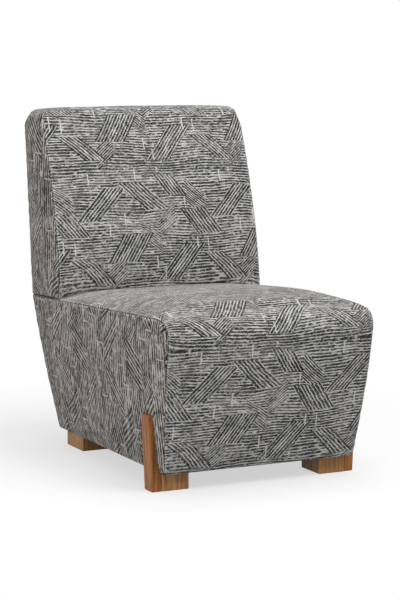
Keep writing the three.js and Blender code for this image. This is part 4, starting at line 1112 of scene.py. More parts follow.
@dataclass
class Upholstery(ABC):
    """What the padded sub-assemblies share: the sizes, the finishes and the softened edges."""

    sizes: ChairSizes
    finishes: dict[Slot, bpy.types.Material]
    edge_radius: float = 0.007
    row_step: float = 0.005
    columns: int = 141
    end_crowding: float = 0.8
    groove_depth: float = 0.0007
    groove_reach: float = 0.0016
    pucker_height: float = 0.0005
    pucker_reach: float = 0.018
    pucker_length: float = 0.026
    pucker_start: float = 0.003
    sag_height: float = 0.0005
    sag_length: float = 0.24
    sag_start: float = 0.05
    swell_cap: float = 0.003
    swell_start: float = 0.001
    swell_rise: float = 0.03
    roll_share: float = 0.5
    foot_inset_share: float = 0.6
    seams: list[np.ndarray] = field(default_factory=list)

    @abstractmethod
    def half_at(self, points: np.ndarray) -> np.ndarray:
        """Half of the width at points of the side, depth and height."""

    @abstractmethod
    def side_outline(self, inset: float) -> np.ndarray:
        """The side outline at an inset, with as many points at each inset."""

    @abstractmethod
    def rear_layer(self, inset: float, counts: list[int] | None = None) -> Surface:
        """The rear cover's surface at an inset."""

    def pressed(self, side: Side, points: np.ndarray) -> np.ndarray:
        """How far a side panel is pressed in at points of the side."""
        return np.zeros(points.shape[:-1])

    def shares(self) -> np.ndarray:
        """Column places from -1 to 1, closer together beside the seams."""
        even = np.linspace(-1.0, 1.0, self.columns)
        return even * (1.0 - self.end_crowding) + np.sin(even * math.pi / 2.0) * self.end_crowding

    def placed(self, points: np.ndarray) -> np.ndarray:
        """Points moved from the chair's own depth into the shared frame."""
        moved = points.copy()
        moved[..., 1] += self.sizes.depth_shift
        return moved

    def edge_radius_at(self, points: np.ndarray) -> np.ndarray:
        """The radius of the rolled seam at points of the side, depth and height."""
        return np.full(points.shape[:-1], self.edge_radius)

    def crown_share(self, points: np.ndarray) -> np.ndarray:
        """How much of a side panel's crown is kept at points of the side."""
        return np.ones(points.shape[:-1])

    def shaped(self, points: np.ndarray) -> np.ndarray:
        """Points with the sub-assembly's outer corners rounded."""
        return points

    def strip(
        self,
        inset: float,
        rows_at: Callable[[float], Rows],
        crown_at: Callable[[float], float],
        counts: list[int] | None,
        bend: Callable[[np.ndarray], np.ndarray] = np.asarray,
    ) -> Surface:
        """A wrapped panel as a fine grid.

        Args:
            inset: How far the surface lies inside the panel's outer face.
            rows_at: The control rows of a column, from its place across.
            crown_at: The crown at a row's place.
            counts: The fine steps of each stretch, or none to work them out here.
            bend: Moves the crowned profile points.

        Returns:
            The grid, in the chair's own depth and height.
        """
        side_inset = inset + self.sizes.seam_gap
        control = []
        for share in self.shares():
            rows = rows_at(float(share))
            crown = np.array([crown_at(place) for place in rows.places]) * self.sizes.fall(share)
            side = bend(rows.points + rows.outward * crown[:, None])
            x = share * (self.half_at(rows.points) - side_inset)
            control.append(np.column_stack([x, side, rows.outward]))
        stacked = np.array(control)
        if counts is None:
            middle = stacked[len(stacked) // 2, :, :3]
            lengths = np.linalg.norm(np.diff(middle, axis=0), axis=1)
            counts = np.maximum(1, np.round(lengths / self.row_step).astype(int)).tolist()
        fine = densify(stacked, counts)
        points = fine[..., :3]
        ways = np.zeros_like(points)
        ways[..., 1:] = fine[..., 3:]
        ways /= np.linalg.norm(ways, axis=-1, keepdims=True)
        gone = distances(points[points.shape[0] // 2])
        cloth = np.stack([points[..., 0], np.broadcast_to(gone, points.shape[:2])], axis=-1)
        inside = np.abs(points[-1:, :, 0]) - np.abs(points[..., 0])
        return Surface(points, ways, cloth, inside, counts)

    def swell(self, surface: Surface) -> np.ndarray:
        """How far a strip's settled cloth stands from its starting form, by a cloth simulation."""
        columns, rows = surface.points.shape[:2]
        across = np.arange(0, columns, 2)
        along = np.unique(np.linspace(0, rows - 1, rows // 2 + 1).round().astype(int))
        points = surface.points[across][:, along]
        ways = surface.outward[across][:, along]
        pinned = np.zeros(points.shape[:2], bool)
        pinned[[0, -1], :] = True
        pinned[:, [0, -1]] = True
        faces = grid_faces(len(across), len(along)).tolist()
        coarse = settled(
            points.reshape(-1, 3), faces, ways.reshape(-1, 3), pinned.ravel(), self.swell_cap
        ).reshape(points.shape[:2])
        rows_fine = np.array([np.interp(np.arange(rows), along, column) for column in coarse])
        return np.array([np.interp(np.arange(columns), across, row) for row in rows_fine.T]).T

    def soften(self, surface: Surface, seed: int) -> Surface:
        """Swells a strip, rolls its long edges into the seams, and gives it puckers and slow sags."""
        points = surface.points.copy()
        inside = surface.seam
        half = inside + np.abs(points[..., 0])
        radius = self.edge_radius_at(points[..., 1:])
        reach = np.maximum(radius - inside, 0.0)
        slant = np.hypot(reach, radius)
        points[..., 0] = np.sign(points[..., 0]) * (half - np.where(
            inside < radius, radius - reach * radius / slant, inside))
        drop = radius - radius * radius / slant
        drop += self.groove_depth * np.exp(-((inside / self.groove_reach) ** 2))
        u, v = surface.cloth[..., 0], surface.cloth[..., 1]
        pucker = waves(v, np.sign(u), self.pucker_length, seed) * self.pucker_height
        fade = np.exp(-inside / self.pucker_reach) * smooth(inside, 0.0, self.pucker_start)
        sag = waves(v, u, self.sag_length, seed + 1) * self.sag_height * smooth(inside, 0.0, self.sag_start)
        swell = self.swell(surface)
        if swell.any():
            swell -= self.swell_start * smooth(inside, 0.0, self.swell_rise)
        points += surface.outward * (pucker * fade + sag + swell - drop)[..., None]
        return Surface(points, surface.outward, surface.cloth, inside, surface.counts)

    def roll_under(self, surface: Surface, at_start: bool, radius: float) -> None:
        """Rolls a strip's first or last rows inwards, as cloth that turns under an edge."""
        along = surface.cloth[..., 1]
        gone = along if at_start else along.max() - along
        reach = np.maximum(radius - gone, 0.0)
        surface.points -= surface.outward * (radius - np.sqrt(radius**2 - reach**2))[..., None]

    def dress(self, made: bpy.types.Object, slot: Slot, node: str, fill: float = 0.85) -> None:
        """Gives a padded piece its finish and its body, and hides the node that it stands for."""
        outfit(made, self.finishes[slot], slot, node)

    def strip_piece(
        self,
        name: str,
        node: str,
        slot: Slot,
        layer: Callable[..., Surface],
        seed: int,
        rolls: tuple[float, float],
        shape: Callable[[np.ndarray], np.ndarray] = np.asarray,
    ) -> np.ndarray:
        """A strip as a closed shell between its softened outer face and its inner face.

        Args:
            name: The piece's name.
            node: The node that it stands for.
            slot: Its cloth.
            layer: Its surface at an inset, with the fine steps that it is given or its own.
            seed: Fixes its puckers and sags.
            rolls: The radii by which its first and its last rows turn under, or zero.
            shape: Rounds its outer corners.

        Returns:
            The outer points, in the shared frame.
        """
        plain = layer(0.0)
        outer = self.soften(plain, seed)
        for at_start, radius in zip((True, False), rolls):
            if radius > 0.0:
                self.roll_under(outer, at_start, radius)
        inner = layer(self.sizes.cover_thickness, plain.counts)
        outer.points = self.placed(shape(outer.points))
        self.dress(grid_shell(name, outer, self.placed(shape(inner.points))), slot, node)
        return outer.points

    def rear_strip(
        self, inset: float, corners: np.ndarray, crown_at: Callable[[float], float], counts: list[int] | None
    ) -> Surface:
        """A rear cover's surface at an inset between two corners, crowned on its outer face only."""
        return self.strip(
            inset, lambda share: profile_rows(corners, (0.0, 0.0), (REAR_ROW_SHARES,)),
            lambda place: 0.0 if inset else crown_at(place), counts,
        )

    def rear_cover(self, part: str, seed: int) -> np.ndarray:
        """Builds a part's rear cover, turned under at both ends, and gives its outer points."""
        roll = self.edge_radius * self.roll_share
        name, node = f"{part}_rear", f"{part}_rear_cover"
        points = self.strip_piece(name, node, Slot.SIDE_CLOTH, self.rear_layer, seed, (roll, roll))
        self.seams += [points[0], points[-1]]
        return points

    def side_panel(self, name: str, side: Side, crown: float, seed: int) -> bpy.types.Object:
        """A crowned side panel as a closed shell.

        Args:
            name: The piece's name.
            side: Which side of the chair it is on.
            crown: How far the panel's middle stands out.
            seed: Fixes its puckers.

        Returns:
            The panel.
        """
        sizes = self.sizes
        insets, shares = np.array(RING_INSETS), np.array(RING_SHARES)
        outlines = np.array([self.side_outline(sizes.seam_gap + inset) for inset in insets])
        under = sizes.seam_gap + sizes.cover_thickness
        inner = np.array([self.side_outline(under + inset) for inset in insets])
        middle = outlines[-1].mean(axis=0)
        flat = np.concatenate([outlines, [mix(middle, outlines[-1], share) for share in shares]])
        inner_flat = np.concatenate([inner, [mix(middle, inner[-1], share) for share in shares]])
        reach = np.linalg.norm(outlines[-1] - middle, axis=1).mean()
        depth_in = np.concatenate([insets, insets[-1] + (1.0 - shares) * reach])[:, None]
        seam = np.broadcast_to(depth_in, flat.shape[:2])
        total = insets[-1] + reach
        inward = (outlines[3] - outlines[0]) / insets[3]
        radius = self.edge_radius_at(flat)
        gap = np.maximum(radius - depth_in, 0.0)
        slant = np.hypot(gap, radius)
        step = np.linalg.norm(np.diff(outlines[0], axis=0, append=outlines[0][:1]), axis=1)
        around = np.broadcast_to(np.cumsum(step), flat.shape[:2])
        fade = np.exp(-depth_in / self.pucker_reach) * smooth(depth_in, 0.0, self.pucker_start)
        raised = (
            crown * self.crown_share(flat) * sizes.fall(1.0 - depth_in / total)
            - (radius - radius * radius / slant)
            - self.groove_depth * np.exp(-((depth_in / self.groove_reach) ** 2))
            + waves(around, depth_in * 0.4, self.pucker_length, seed) * self.pucker_height * fade
            + waves(flat[..., 0], flat[..., 1], self.sag_length, seed + 1)
            * self.sag_height * smooth(depth_in, 0.0, self.sag_start)
        )
        drawn = flat + inward * np.where(gap > 0.0, radius - gap * radius / slant - depth_in, 0.0)[..., None]
        x = self.half_at(flat) + raised - self.pressed(side, flat)
        x = x + self._side_swell(side, x, drawn, depth_in)
        outer = self.placed(self.shaped(np.concatenate([side.value * x[..., None], drawn], axis=-1)))
        inner_half = self.half_at(inner_flat) - sizes.cover_thickness - self.pressed(side, inner_flat)
        inner_x = side.value * inner_half
        hidden = self.placed(self.shaped(np.concatenate([inner_x[..., None], inner_flat], axis=-1)))
        cloth = flat[..., ::-1] + np.array([0.0, 0.1 * (side.value + 1)])
        return ring_shell(name, outer, hidden, cloth, seam)

    def _side_swell(self, side: Side, x: np.ndarray, drawn: np.ndarray, depth_in: np.ndarray) -> np.ndarray:
        """How far a side panel's settled cloth stands from its starting form."""
        rings, count = x.shape
        grid = np.concatenate([side.value * x[..., None], drawn], axis=-1)
        points = np.concatenate([grid[:-1].reshape(-1, 3), grid[-1, :1]])
        outward = np.broadcast_to([float(side.value), 0.0, 0.0], points.shape)
        pinned = np.arange(len(points)) < count * 2
        moved = settled(points, ring_layer_faces(rings, count, 0), outward, pinned, self.swell_cap)
        if not moved.any():
            return np.zeros_like(x)
        spread = np.concatenate([moved[:-1].reshape(rings - 1, count), np.full((1, count), moved[-1])])
        return spread - self.swell_start * smooth(depth_in, 0.0, self.swell_rise)


def spaced_outline(stretches: Sequence[tuple[np.ndarray, int]]) -> np.ndarray:
    """Outline points along stretches of control points, each split into so many equal shares."""
    points = []
    for control, count in stretches:
        lengths = distances(control)
        places = np.linspace(0.0, lengths[-1], count, endpoint=False)
        points.append(read_off(places, lengths, control))
    return np.concatenate(points)


@dataclass
class BaseUpholstery(Upholstery):
    """The seat and front strip, the base's side and rear covers, and the padding below them."""

    bottom_roll: float = 0.008
    nose_edge_radius: float = 0.015
    nose_edge_reach: float = 0.09
    foot_corner_radius: float = 0.013
    foot_corner_depth: float = 0.030
    upright_clearance: float = 0.0006
    press_depth: float = 0.0025
    press_reach: float = 0.014
    room_margin: float = 0.02
    outline_counts: tuple[int, int, int] = (230, 70, 124)

    def build(self) -> None:
        """Builds the base's soft pieces in order."""
        self.build_front_cover()
        for side in Side:
            self.build_side_cover(side)
        self.rear_cover("base", BASE_REAR_SEED)

    def half_at(self, points: np.ndarray) -> np.ndarray:
        """Half of the base's width at points of its side."""
        return self.sizes.base_half(points)

    def edge_radius_at(self, points: np.ndarray) -> np.ndarray:
        """The radius of the rolled seam, which is larger over the nose."""
        away = np.linalg.norm(points - self.sizes.base_corners[1], axis=-1)
        return self.edge_radius + self.nose_edge_radius * np.exp(-((away / self.nose_edge_reach) ** 2))

    def shaped(self, points: np.ndarray) -> np.ndarray:
        """Points with the front's lower corners rounded."""
        sizes = self.sizes
        depth = self.foot_corner_depth
        radius = self.foot_corner_radius * (1.0 - smooth(points[..., 1], 0.0, depth)) + 1e-5
        return round_foot(points, sizes.bottom_width / 2.0, sizes.base_bottom, radius)

    def front_layer(self, inset: float, counts: list[int] | None = None) -> Surface:
        """The seat and front strip's surface at an inset."""
        sizes = self.sizes
        corners = inset_profile(sizes.base_corners, (inset, inset, inset + sizes.seam_gap, 0.0))[:3]
        junction = sizes.seat_length / (sizes.seat_length + sizes.back_thickness)
        tuck = sizes.tuck_length / sizes.seat_length
        top = [share * junction for share in (*SEAT_ROW_SHARES, 1.0 + tuck)]

        def rows_at(share: float) -> Rows:
            """The rows of one column."""
            radius = mix(sizes.nose_seam_radius, sizes.nose_middle_radius, float(sizes.fall(share)))
            return profile_rows(corners, (0.0, radius - inset, 0.0), (FRONT_ROW_SHARES, top))

        return self.strip(inset, rows_at, sizes.seat_crown_at, counts)

    def build_front_cover(self) -> None:
        """The strip from the front's lower edge over the nose and the seat, and on below the back."""
        points = self.strip_piece(
            "seat_and_front_cover", "seat_cover", Slot.FRONT_CLOTH, self.front_layer, SEAT_SEED,
            (self.bottom_roll, 0.0), self.shaped,
        )
        visible = points[..., 1] < self.sizes.junction_depth + self.sizes.depth_shift
        self.seams += [points[column][visible[column]] for column in (0, -1)]

    def side_outline(self, inset: float) -> np.ndarray:
        """The base's side outline at an inset."""
        sizes = self.sizes
        corners = inset_profile(sizes.base_corners, (inset, inset, inset, inset * self.foot_inset_share))
        shares = (OUTLINE_SHARES, OUTLINE_SHARES[:2])
        rows = profile_rows(corners[:3], (0.0, sizes.nose_seam_radius - inset, 0.0), shares)
        stretches = (rows.points, corners[[2, 3]], corners[[3, 0]])
        return spaced_outline(list(zip(stretches, self.outline_counts)))

    def pressed(self, side: Side, points: np.ndarray) -> np.ndarray:
        """How far a side cover is pressed in beside the front foot's upright."""
        low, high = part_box(f"front_foot_upright_{side.word}")
        shift = self.sizes.depth_shift
        aside = np.maximum(low.y - shift - points[..., 0], points[..., 0] - high.y + shift)
        beyond = np.hypot(np.maximum(aside, 0.0), np.maximum(points[..., 1] - high.z, 0.0))
        return self.press_depth * np.exp(-((beyond / self.press_reach) ** 2))

    def build_side_cover(self, side: Side) -> None:
        """A side cover, pressed in around the front foot's upright, which passes through it."""
        seed = BASE_SIDE_SEED + side.value
        made = self.side_panel(f"base_side_{side.word}", side, self.sizes.base_side_crown, seed)
        low, high = (np.array(corner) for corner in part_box(f"front_foot_upright_{side.word}"))
        grow = np.array([self.room_margin, self.upright_clearance, self.upright_clearance])
        cut_box(made, low - grow, high + grow)
        self.dress(made, Slot.SIDE_CLOTH, f"base_side_cover_{side.word}")

    def rear_layer(self, inset: float, counts: list[int] | None = None) -> Surface:
        """The rear cover's surface at an inset."""
        sizes = self.sizes
        corners = inset_profile(sizes.base_corners, (inset, inset + sizes.seam_gap, inset, 0.0))[2:4]

        def crown_at(place: float) -> float:
            """The crown, which is highest halfway up."""
            return sizes.base_rear_crown * float(sizes.fall(2.0 * place - 1.0))

        return self.rear_strip(inset, corners, crown_at, counts)


@dataclass
class BackUpholstery(Upholstery):
    """The back's front, top and roll in one strip, and its side and rear covers."""

    foot_ease: float = 0.0004
    side_foot_rise: float = 0.0016
    top_corner_radius: float = 0.024
    corner_fade_start: float = 0.012
    corner_fade_end: float = 0.060
    top_edge_radius: float = 0.0015
    edge_fade_shares: tuple[float, float] = (1.6, 0.6)
    crown_fade_shares: tuple[float, float] = (2.4, 0.7)
    foot_roll_share: float = 0.6
    outline_counts: tuple[int, int] = (300, 44)

    def build(self) -> None:
        """Builds the back's soft pieces in order."""
        self.build_front_cover()
        for side in Side:
            self.build_side_cover(side)
        self.seams.append(self.rear_cover("back", BACK_REAR_SEED)[:, 0])

    def half_at(self, points: np.ndarray) -> np.ndarray:
        """Half of the back's width at points of its side."""
        return self.sizes.back_half(points)

    def edge_radius_at(self, points: np.ndarray) -> np.ndarray:
        """The radius of the rolled seam, which grows small where the upper corner is rounded."""
        top = self.sizes.back_seam_height
        low, high = (top - share * self.top_corner_radius for share in self.edge_fade_shares)
        return mix(self.edge_radius, self.top_edge_radius, smooth(points[..., 1], low, high))

    def crown_share(self, points: np.ndarray) -> np.ndarray:
        """How much of the side's crown is kept, which goes where the upper corner is rounded."""
        top, radius = self.sizes.back_seam_height, self.top_corner_radius
        low, high = (top - share * radius for share in self.crown_fade_shares)
        return 1.0 - smooth(points[..., 1], low, high)

    def outline_beside(self, flat: np.ndarray) -> tuple[np.ndarray, np.ndarray]:
        """The nearest place on the upper side outline to each point, and the way out from it."""
        outline = self.side_outline(0.0)
        outline = outline[outline[:, 1] > self.sizes.back_seam_height - 2.0 * self.corner_fade_end]
        step = np.gradient(outline, axis=0)
        spacing = np.linalg.norm(step, axis=1).mean()
        step /= np.linalg.norm(step, axis=1, keepdims=True)
        gap = flat.reshape(-1, 1, 2) - outline
        nearest = (gap**2).sum(axis=-1).argmin(axis=1)
        past = (gap[np.arange(len(gap)), nearest] * step[nearest]).sum(axis=-1) / spacing
        numbers = np.arange(len(outline))
        place = read_off(nearest + past, numbers, outline)
        along = read_off(nearest + past, numbers, step)
        along /= np.linalg.norm(along, axis=1, keepdims=True)
        outward = np.column_stack([-along[:, 1], along[:, 0]])
        return place.reshape(flat.shape), outward.reshape(flat.shape)

    def shaped(self, points: np.ndarray) -> np.ndarray:
        """Points with the edge between the back's side faces and its top rounded."""
        flat = points[..., 1:]
        place, outward = self.outline_beside(flat)
        top = self.sizes.back_seam_height
        near = smooth(place[..., 1], top - self.corner_fade_end, top - self.corner_fade_start)
        radius = np.maximum(self.top_corner_radius * near, 1e-6)
        half = self.half_at(flat)
        above = radius - ((place - flat) * outward).sum(axis=-1)
        out, up = eased(np.abs(points[..., 0]) - half + radius, above, radius)
        moved = points.copy()
        moved[..., 0] = np.sign(points[..., 0]) * (half - radius + out)
        moved[..., 1:] = flat + outward * (up - above)[..., None]
        return moved

    def strip_corners(self, inset: float) -> np.ndarray:
        """The profile of the back's strip: front, top and the roll behind the top edge."""
        sizes = self.sizes
        corners = inset_profile(sizes.back_corners, (inset, inset, inset, 0.0))
        outer = sizes.back_corners
        down = unit(outer[3] - outer[2])
        inward = np.array([down[1], -down[0]])
        end = outer[2] + down * sizes.rear_roll_length + inward * inset
        return np.array([corners[0], corners[1], corners[2], end])

    def front_layer(self, inset: float, counts: list[int] | None = None) -> Surface:
        """The strip's surface at an inset, with its foot on the crowned seat."""
        sizes = self.sizes
        corners = self.strip_corners(inset)
        height = corners[1][1] - corners[0][1]

        def rows_at(share: float) -> Rows:
            """The rows of one column."""
            fall = float(sizes.fall(share))
            top_radius = mix(sizes.back_top_front_radius, sizes.back_top_middle_radius, fall) - inset
            start = (sizes.seat_top(share) + self.foot_ease) / height
            radii = (0.0, top_radius, sizes.back_top_rear_radius - inset, 0.0)
            return profile_rows(corners, radii, (BACK_ROW_SHARES, (0.5,), ()), start)

        return self.strip(inset, rows_at, sizes.back_crown_at, counts, sizes.belly)

    def build_front_cover(self) -> None:
        """The strip over the back's front, its top and the roll behind its top edge."""
        points = self.strip_piece(
            "back_front_and_top", "back_front_cover", Slot.FRONT_CLOTH, self.front_layer, BACK_SEED,
            (self.edge_radius * self.foot_roll_share, self.edge_radius * self.roll_share), self.shaped,
        )
        self.seams += [points[0], points[-1]]

    def side_outline(self, inset: float) -> np.ndarray:
        """The back's side outline at an inset."""
        sizes = self.sizes
        insets = (inset, inset, inset, inset * self.foot_inset_share + self.side_foot_rise)
        corners = inset_profile(sizes.back_corners, insets)
        radii = (0.0, sizes.back_top_front_radius - inset, sizes.back_top_rear_radius - inset, 0.0)
        rows = profile_rows(corners, radii, (OUTLINE_SHARES, (0.5,), OUTLINE_SHARES))
        stretches = (rows.points, corners[[3, 0]])
        return sizes.belly(spaced_outline(list(zip(stretches, self.outline_counts))))

    def build_side_cover(self, side: Side) -> None:
        """A side cover of the back."""
        seed = BACK_SIDE_SEED + side.value
        made = self.side_panel(f"back_side_{side.word}", side, self.sizes.back_side_crown, seed)
        self.dress(made, Slot.SIDE_CLOTH, f"back_side_cover_{side.word}")

    def rear_layer(self, inset: float, counts: list[int] | None = None) -> Surface:
        """The rear cover's surface at an inset, from just below the roll to the back's foot."""
        sizes = self.sizes
        strip_end = self.strip_corners(inset)[3]
        foot = inset_profile(sizes.back_corners, (inset, inset, inset, 0.0))[3]
        start = strip_end + unit(foot - strip_end) * 2.0 * sizes.seam_gap
        return self.rear_strip(inset, np.array([start, foot]), sizes.rear_crown_at, counts)


@dataclass
class Padding:
    """Foam blocks and batting pads, each softened from the space that it fills."""

    frame: dict[str, Any]
    back: BackUpholstery
    voxel: float = 0.006
    smooth_steps: int = 10
    lump_height: float = 0.0006
    lump_length: float = 0.05

    def build(self) -> None:
        """Builds every foam block and pad."""
        names = ["seat_foam", "front_pad", "back_foam"]
        names += [f"{part}_side_pad_{side.word}" for part in ("base", "back") for side in Side]
        for number, name in enumerate(names):
            self._pad(name, number)

    def _pad(self, node: str, seed: int) -> None:
        """One pad: its edges softened and its faces a little uneven, and the back's pads have their corners
        rounded to the cover.
        """
        made = copy_of(self.frame, node, f"soft_{node}")
        soften_solid(made, self.voxel, self.smooth_steps)
        points, normals = mesh_arrays(made.data)
        along, across = points[:, 0] + points[:, 2], points[:, 1] - points[:, 2]
        lumps = waves(along, across, self.lump_length, PAD_SEED + seed)
        points += normals * (lumps * self.lump_height - self.lump_height)[:, None]
        if node.startswith("back"):
            shift = self.back.sizes.depth_shift
            local = points - np.array([0.0, shift, 0.0])
            points = self.back.placed(self.back.shaped(local))
        set_points(made.data, points)
        self.back.dress(made, slot_of_node(node), node, 0.9)


def copy_of(frame: dict[str, Any], node: str, name: str) -> bpy.types.Object:
    """A new piece with a merged copy of a node's mesh, whose flat faces are whole."""
    mesh = frame["nodes"][node].data.copy()
    mesh.materials.clear()
    work = bmesh.new()
    work.from_mesh(mesh)
    bmesh.ops.remove_doubles(work, verts=work.verts, dist=MERGE_DISTANCE)
    bmesh.ops.dissolve_limit(work, angle_limit=FLAT_ANGLE, verts=work.verts, edges=work.edges)
    work.to_mesh(mesh)
    work.free()
    mesh.name = name
    return linked(name, mesh)


def soften_solid(made: bpy.types.Object, voxel: float, steps: int) -> None:
    """Rounds a solid's edges, by an even mesh that is then smoothed."""
    modify(made, "REMESH", mode="VOXEL", voxel_size=voxel)
    modify(made, "SMOOTH", factor=EASE_FACTOR, iterations=steps)
    apply_modifiers(made)
    smooth_faces(made.data)


def mesh_arrays(mesh: bpy.types.Mesh) -> tuple[np.ndarray, np.ndarray]:
    """The points of a mesh and the normals at them."""
    count = len(mesh.vertices)
    points, normals = np.zeros(count * 3, np.float32), np.zeros(count * 3, np.float32)
    mesh.vertices.foreach_get("co", points)
    mesh.vertices.foreach_get("normal", normals)
    return points.reshape(-1, 3).astype(float), normals.reshape(-1, 3).astype(float)


def set_points(mesh: bpy.types.Mesh, points: np.ndarray) -> None:
    """Moves a mesh's points."""
    mesh.vertices.foreach_set("co", points.astype(np.float32).ravel())
    mesh.update()


# Feet, fastenings and thin cloths


UPRIGHT = "front_foot_upright"
FOOT_NAMES = {UPRIGHT: "tapered_upright", "front_foot_block": "front_block", "rear_foot": "rear_block"}


@dataclass
class OakFeet:
    """The stained feet, with their edges eased."""

    frame: dict[str, Any]
    upright_finish: bpy.types.Material
    block_finish: bpy.types.Material
    edge_width: float = 0.0015
    edge_steps: int = 4
    edge_angle: float = math.radians(35.0)
    worn_voxel: float = 0.0015
    worn_steps: int = 4

    def build(self) -> None:
        """Builds each foot piece from its solid."""
        for side in Side:
            for start, name in FOOT_NAMES.items():
                node = f"{start}_{side.word}"
                made = copy_of(self.frame, node, f"{name}_{side.word}")
                if start == UPRIGHT:
                    soften_solid(made, self.worn_voxel, self.worn_steps)
                else:
                    self._ease(made)
                finish = self.upright_finish if start == UPRIGHT else self.block_finish
                outfit(made, finish, Slot.STAINED_OAK, node)

    def _ease(self, made: bpy.types.Object) -> None:
        """Bevels a block's sharp edges."""
        modify(
            made, "BEVEL", width=self.edge_width, segments=self.edge_steps, limit_method="ANGLE",
            angle_limit=self.edge_angle, use_clamp_overlap=True,
        )
        smooth_faces(made.data)
        modify(made, "WEIGHTED_NORMAL", weight=100, keep_sharp=False)
        apply_modifiers(made)


class BitShape(Enum):
    """What is set along a path."""

    STITCH = "stitch"
    STAPLE = "staple"


INPUT_SOCKETS = {
    "Path": "NodeSocketGeometry", "Pitch": "NodeSocketFloat", "Length": "NodeSocketFloat",
    "Thickness": "NodeSocketFloat", "Seed": "NodeSocketInt", "Finish": "NodeSocketMaterial",
}


@dataclass
class Fastening:
    """Small repeated fastenings along paths: stitches in the seams, or staples in a cloth's edge."""

    name: str
    shape: BitShape
    finish: bpy.types.Material
    slot: Slot
    pitch: float
    length: float
    thickness: float
    seed: int = 5

    def build(self, paths: Sequence[np.ndarray]) -> None:
        """Builds the fastenings along every path as one piece.

        Args:
            paths: Points along each path, in the chair's frame.
        """
        edges, first = [], 0
        for path in paths:
            edges += [(first + step, first + step + 1) for step in range(len(path) - 1)]
            first += len(path)
        mesh = bpy.data.meshes.new(self.name)
        mesh.from_pydata(np.concatenate(paths).tolist(), edges, [])
        made = linked(self.name, mesh)
        tree, inputs = self._tree()
        modifier = made.modifiers.new("fastenings", "NODES")
        modifier.node_group = tree
        for name in ("pitch", "length", "thickness", "seed", "finish"):
            modifier[inputs[name.title()]] = getattr(self, name)
        apply_modifiers(made)
        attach(made, BODY)
        LOG.info("%s: %d faces", self.name, len(made.data.polygons))

    def _tree(self) -> tuple[bpy.types.NodeTree, dict[str, str]]:
        """The node tree, and the identifiers of its named inputs."""
        tree = bpy.data.node_groups.new(self.name, "GeometryNodeTree")
        socket = tree.interface.new_socket
        inputs = {
            name: socket(name=name, in_out="INPUT", socket_type=kind).identifier
            for name, kind in INPUT_SOCKETS.items()
        }
        socket(name="Result", in_out="OUTPUT", socket_type="NodeSocketGeometry")
        node = partial(add_node, tree)
        given = node("NodeGroupInput", {}, {}).outputs
        curve = node("GeometryNodeMeshToCurve", {}, {"Mesh": given["Path"]})
        sockets = {"Curve": curve.outputs[0], "Length": given["Pitch"]}
        even = node("GeometryNodeResampleCurve", {"mode": "LENGTH"}, sockets)
        size = node(
            "ShaderNodeCombineXYZ", {}, {0: given["Thickness"], 1: given["Thickness"], 2: given["Length"]}
        )
        if self.shape is BitShape.STITCH:
            ball = node("GeometryNodeMeshUVSphere", {}, {"Segments": 6, "Rings": 4, "Radius": 0.5})
            bit = node("GeometryNodeTransform", {}, {"Geometry": ball.outputs[0], "Scale": size.outputs[0]})
        else:
            bit = node("GeometryNodeMeshCube", {}, {"Size": size.outputs[0]})
        along = node("GeometryNodeInputTangent", {}, {})
        turn = node("FunctionNodeAlignRotationToVector", {"axis": "Z"}, {"Vector": along.outputs[0]})
        vary = node(
            "FunctionNodeRandomValue", {"data_type": "FLOAT"}, {2: 0.85, 3: 1.1, "Seed": given["Seed"]}
        )
        placed = node("GeometryNodeInstanceOnPoints", {}, {
            "Points": even.outputs[0], "Instance": bit.outputs[0], "Rotation": turn.outputs[0],
            "Scale": vary.outputs[1],
        })
        real = node("GeometryNodeRealizeInstances", {}, {0: placed.outputs[0]})
        sockets = {"Geometry": real.outputs[0], "Material": given["Finish"]}
        dressed = node("GeometryNodeSetMaterial", {}, sockets)
        node("NodeGroupOutput", {}, {0: dressed.outputs[0]})
        return tree, inputs


@dataclass
class FlatCloths:
    """The thin cloths and straps: the deck over the springs, the dust cover and the back's webbing."""

    frame: dict[str, Any]
    finishes: dict[Slot, bpy.types.Material]
    cut_length: float = 0.02
    cut_rounds: int = 4
    ripple_height: float = 0.0002
    ripple_length: float = 0.03
    straps: int = 3

    def build(self) -> None:
        """Builds each cloth and strap."""
        self._cloth("seat_deck_cloth", "spring_deck")
        self._cloth("dust_cover", "under_cover")
        for number in range(1, self.straps + 1):
            self._cloth(f"back_webbing_{number}", f"back_strap_{number}")

    def _cloth(self, node: str, name: str) -> None:
        """One cloth, cut finely from its solid, with a slight ripple."""
        made = copy_of(self.frame, node, name)
        work = bmesh.new()
        work.from_mesh(made.data)
        bmesh.ops.triangulate(work, faces=work.faces)
        for _ in range(self.cut_rounds):
            long_edges = [edge for edge in work.edges if edge.calc_length() > self.cut_length]
            if not long_edges:
                break
            bmesh.ops.subdivide_edges(work, edges=long_edges, cuts=1)
            bmesh.ops.triangulate(work, faces=work.faces)
        work.to_mesh(made.data)
        work.free()
        points, _ = mesh_arrays(made.data)
        along, across = points[:, 0], points[:, 1] + points[:, 2]
        ripple = np.abs(waves(along, across, self.ripple_length, FLAT_SEED) * self.ripple_height)
        low, high = (np.array(corner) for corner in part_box(node))
        thin = int(np.argmin(high - low))
        inside = np.minimum(points[:, 0] - low[0], high[0] - points[:, 0])
        away = -1.0 if thin == 2 else 1.0
        points[:, thin] -= ripple * smooth(inside, 0.0, self.cut_length) * away
        set_points(made.data, points)
        slot = slot_of_node(node)
        outfit(made, self.finishes[slot], slot, node)
        spans = sorted(high - low)
        area = sum(face.area for face in made.data.polygons) / 2.0
        width, length = float(spans[1]), float(math.hypot(spans[2], spans[0]))
        area = min(area, width * length)
        LOG.info("%s: %.3f by %.3f m, %.3f square metres", name, width, length, area)


# Studio


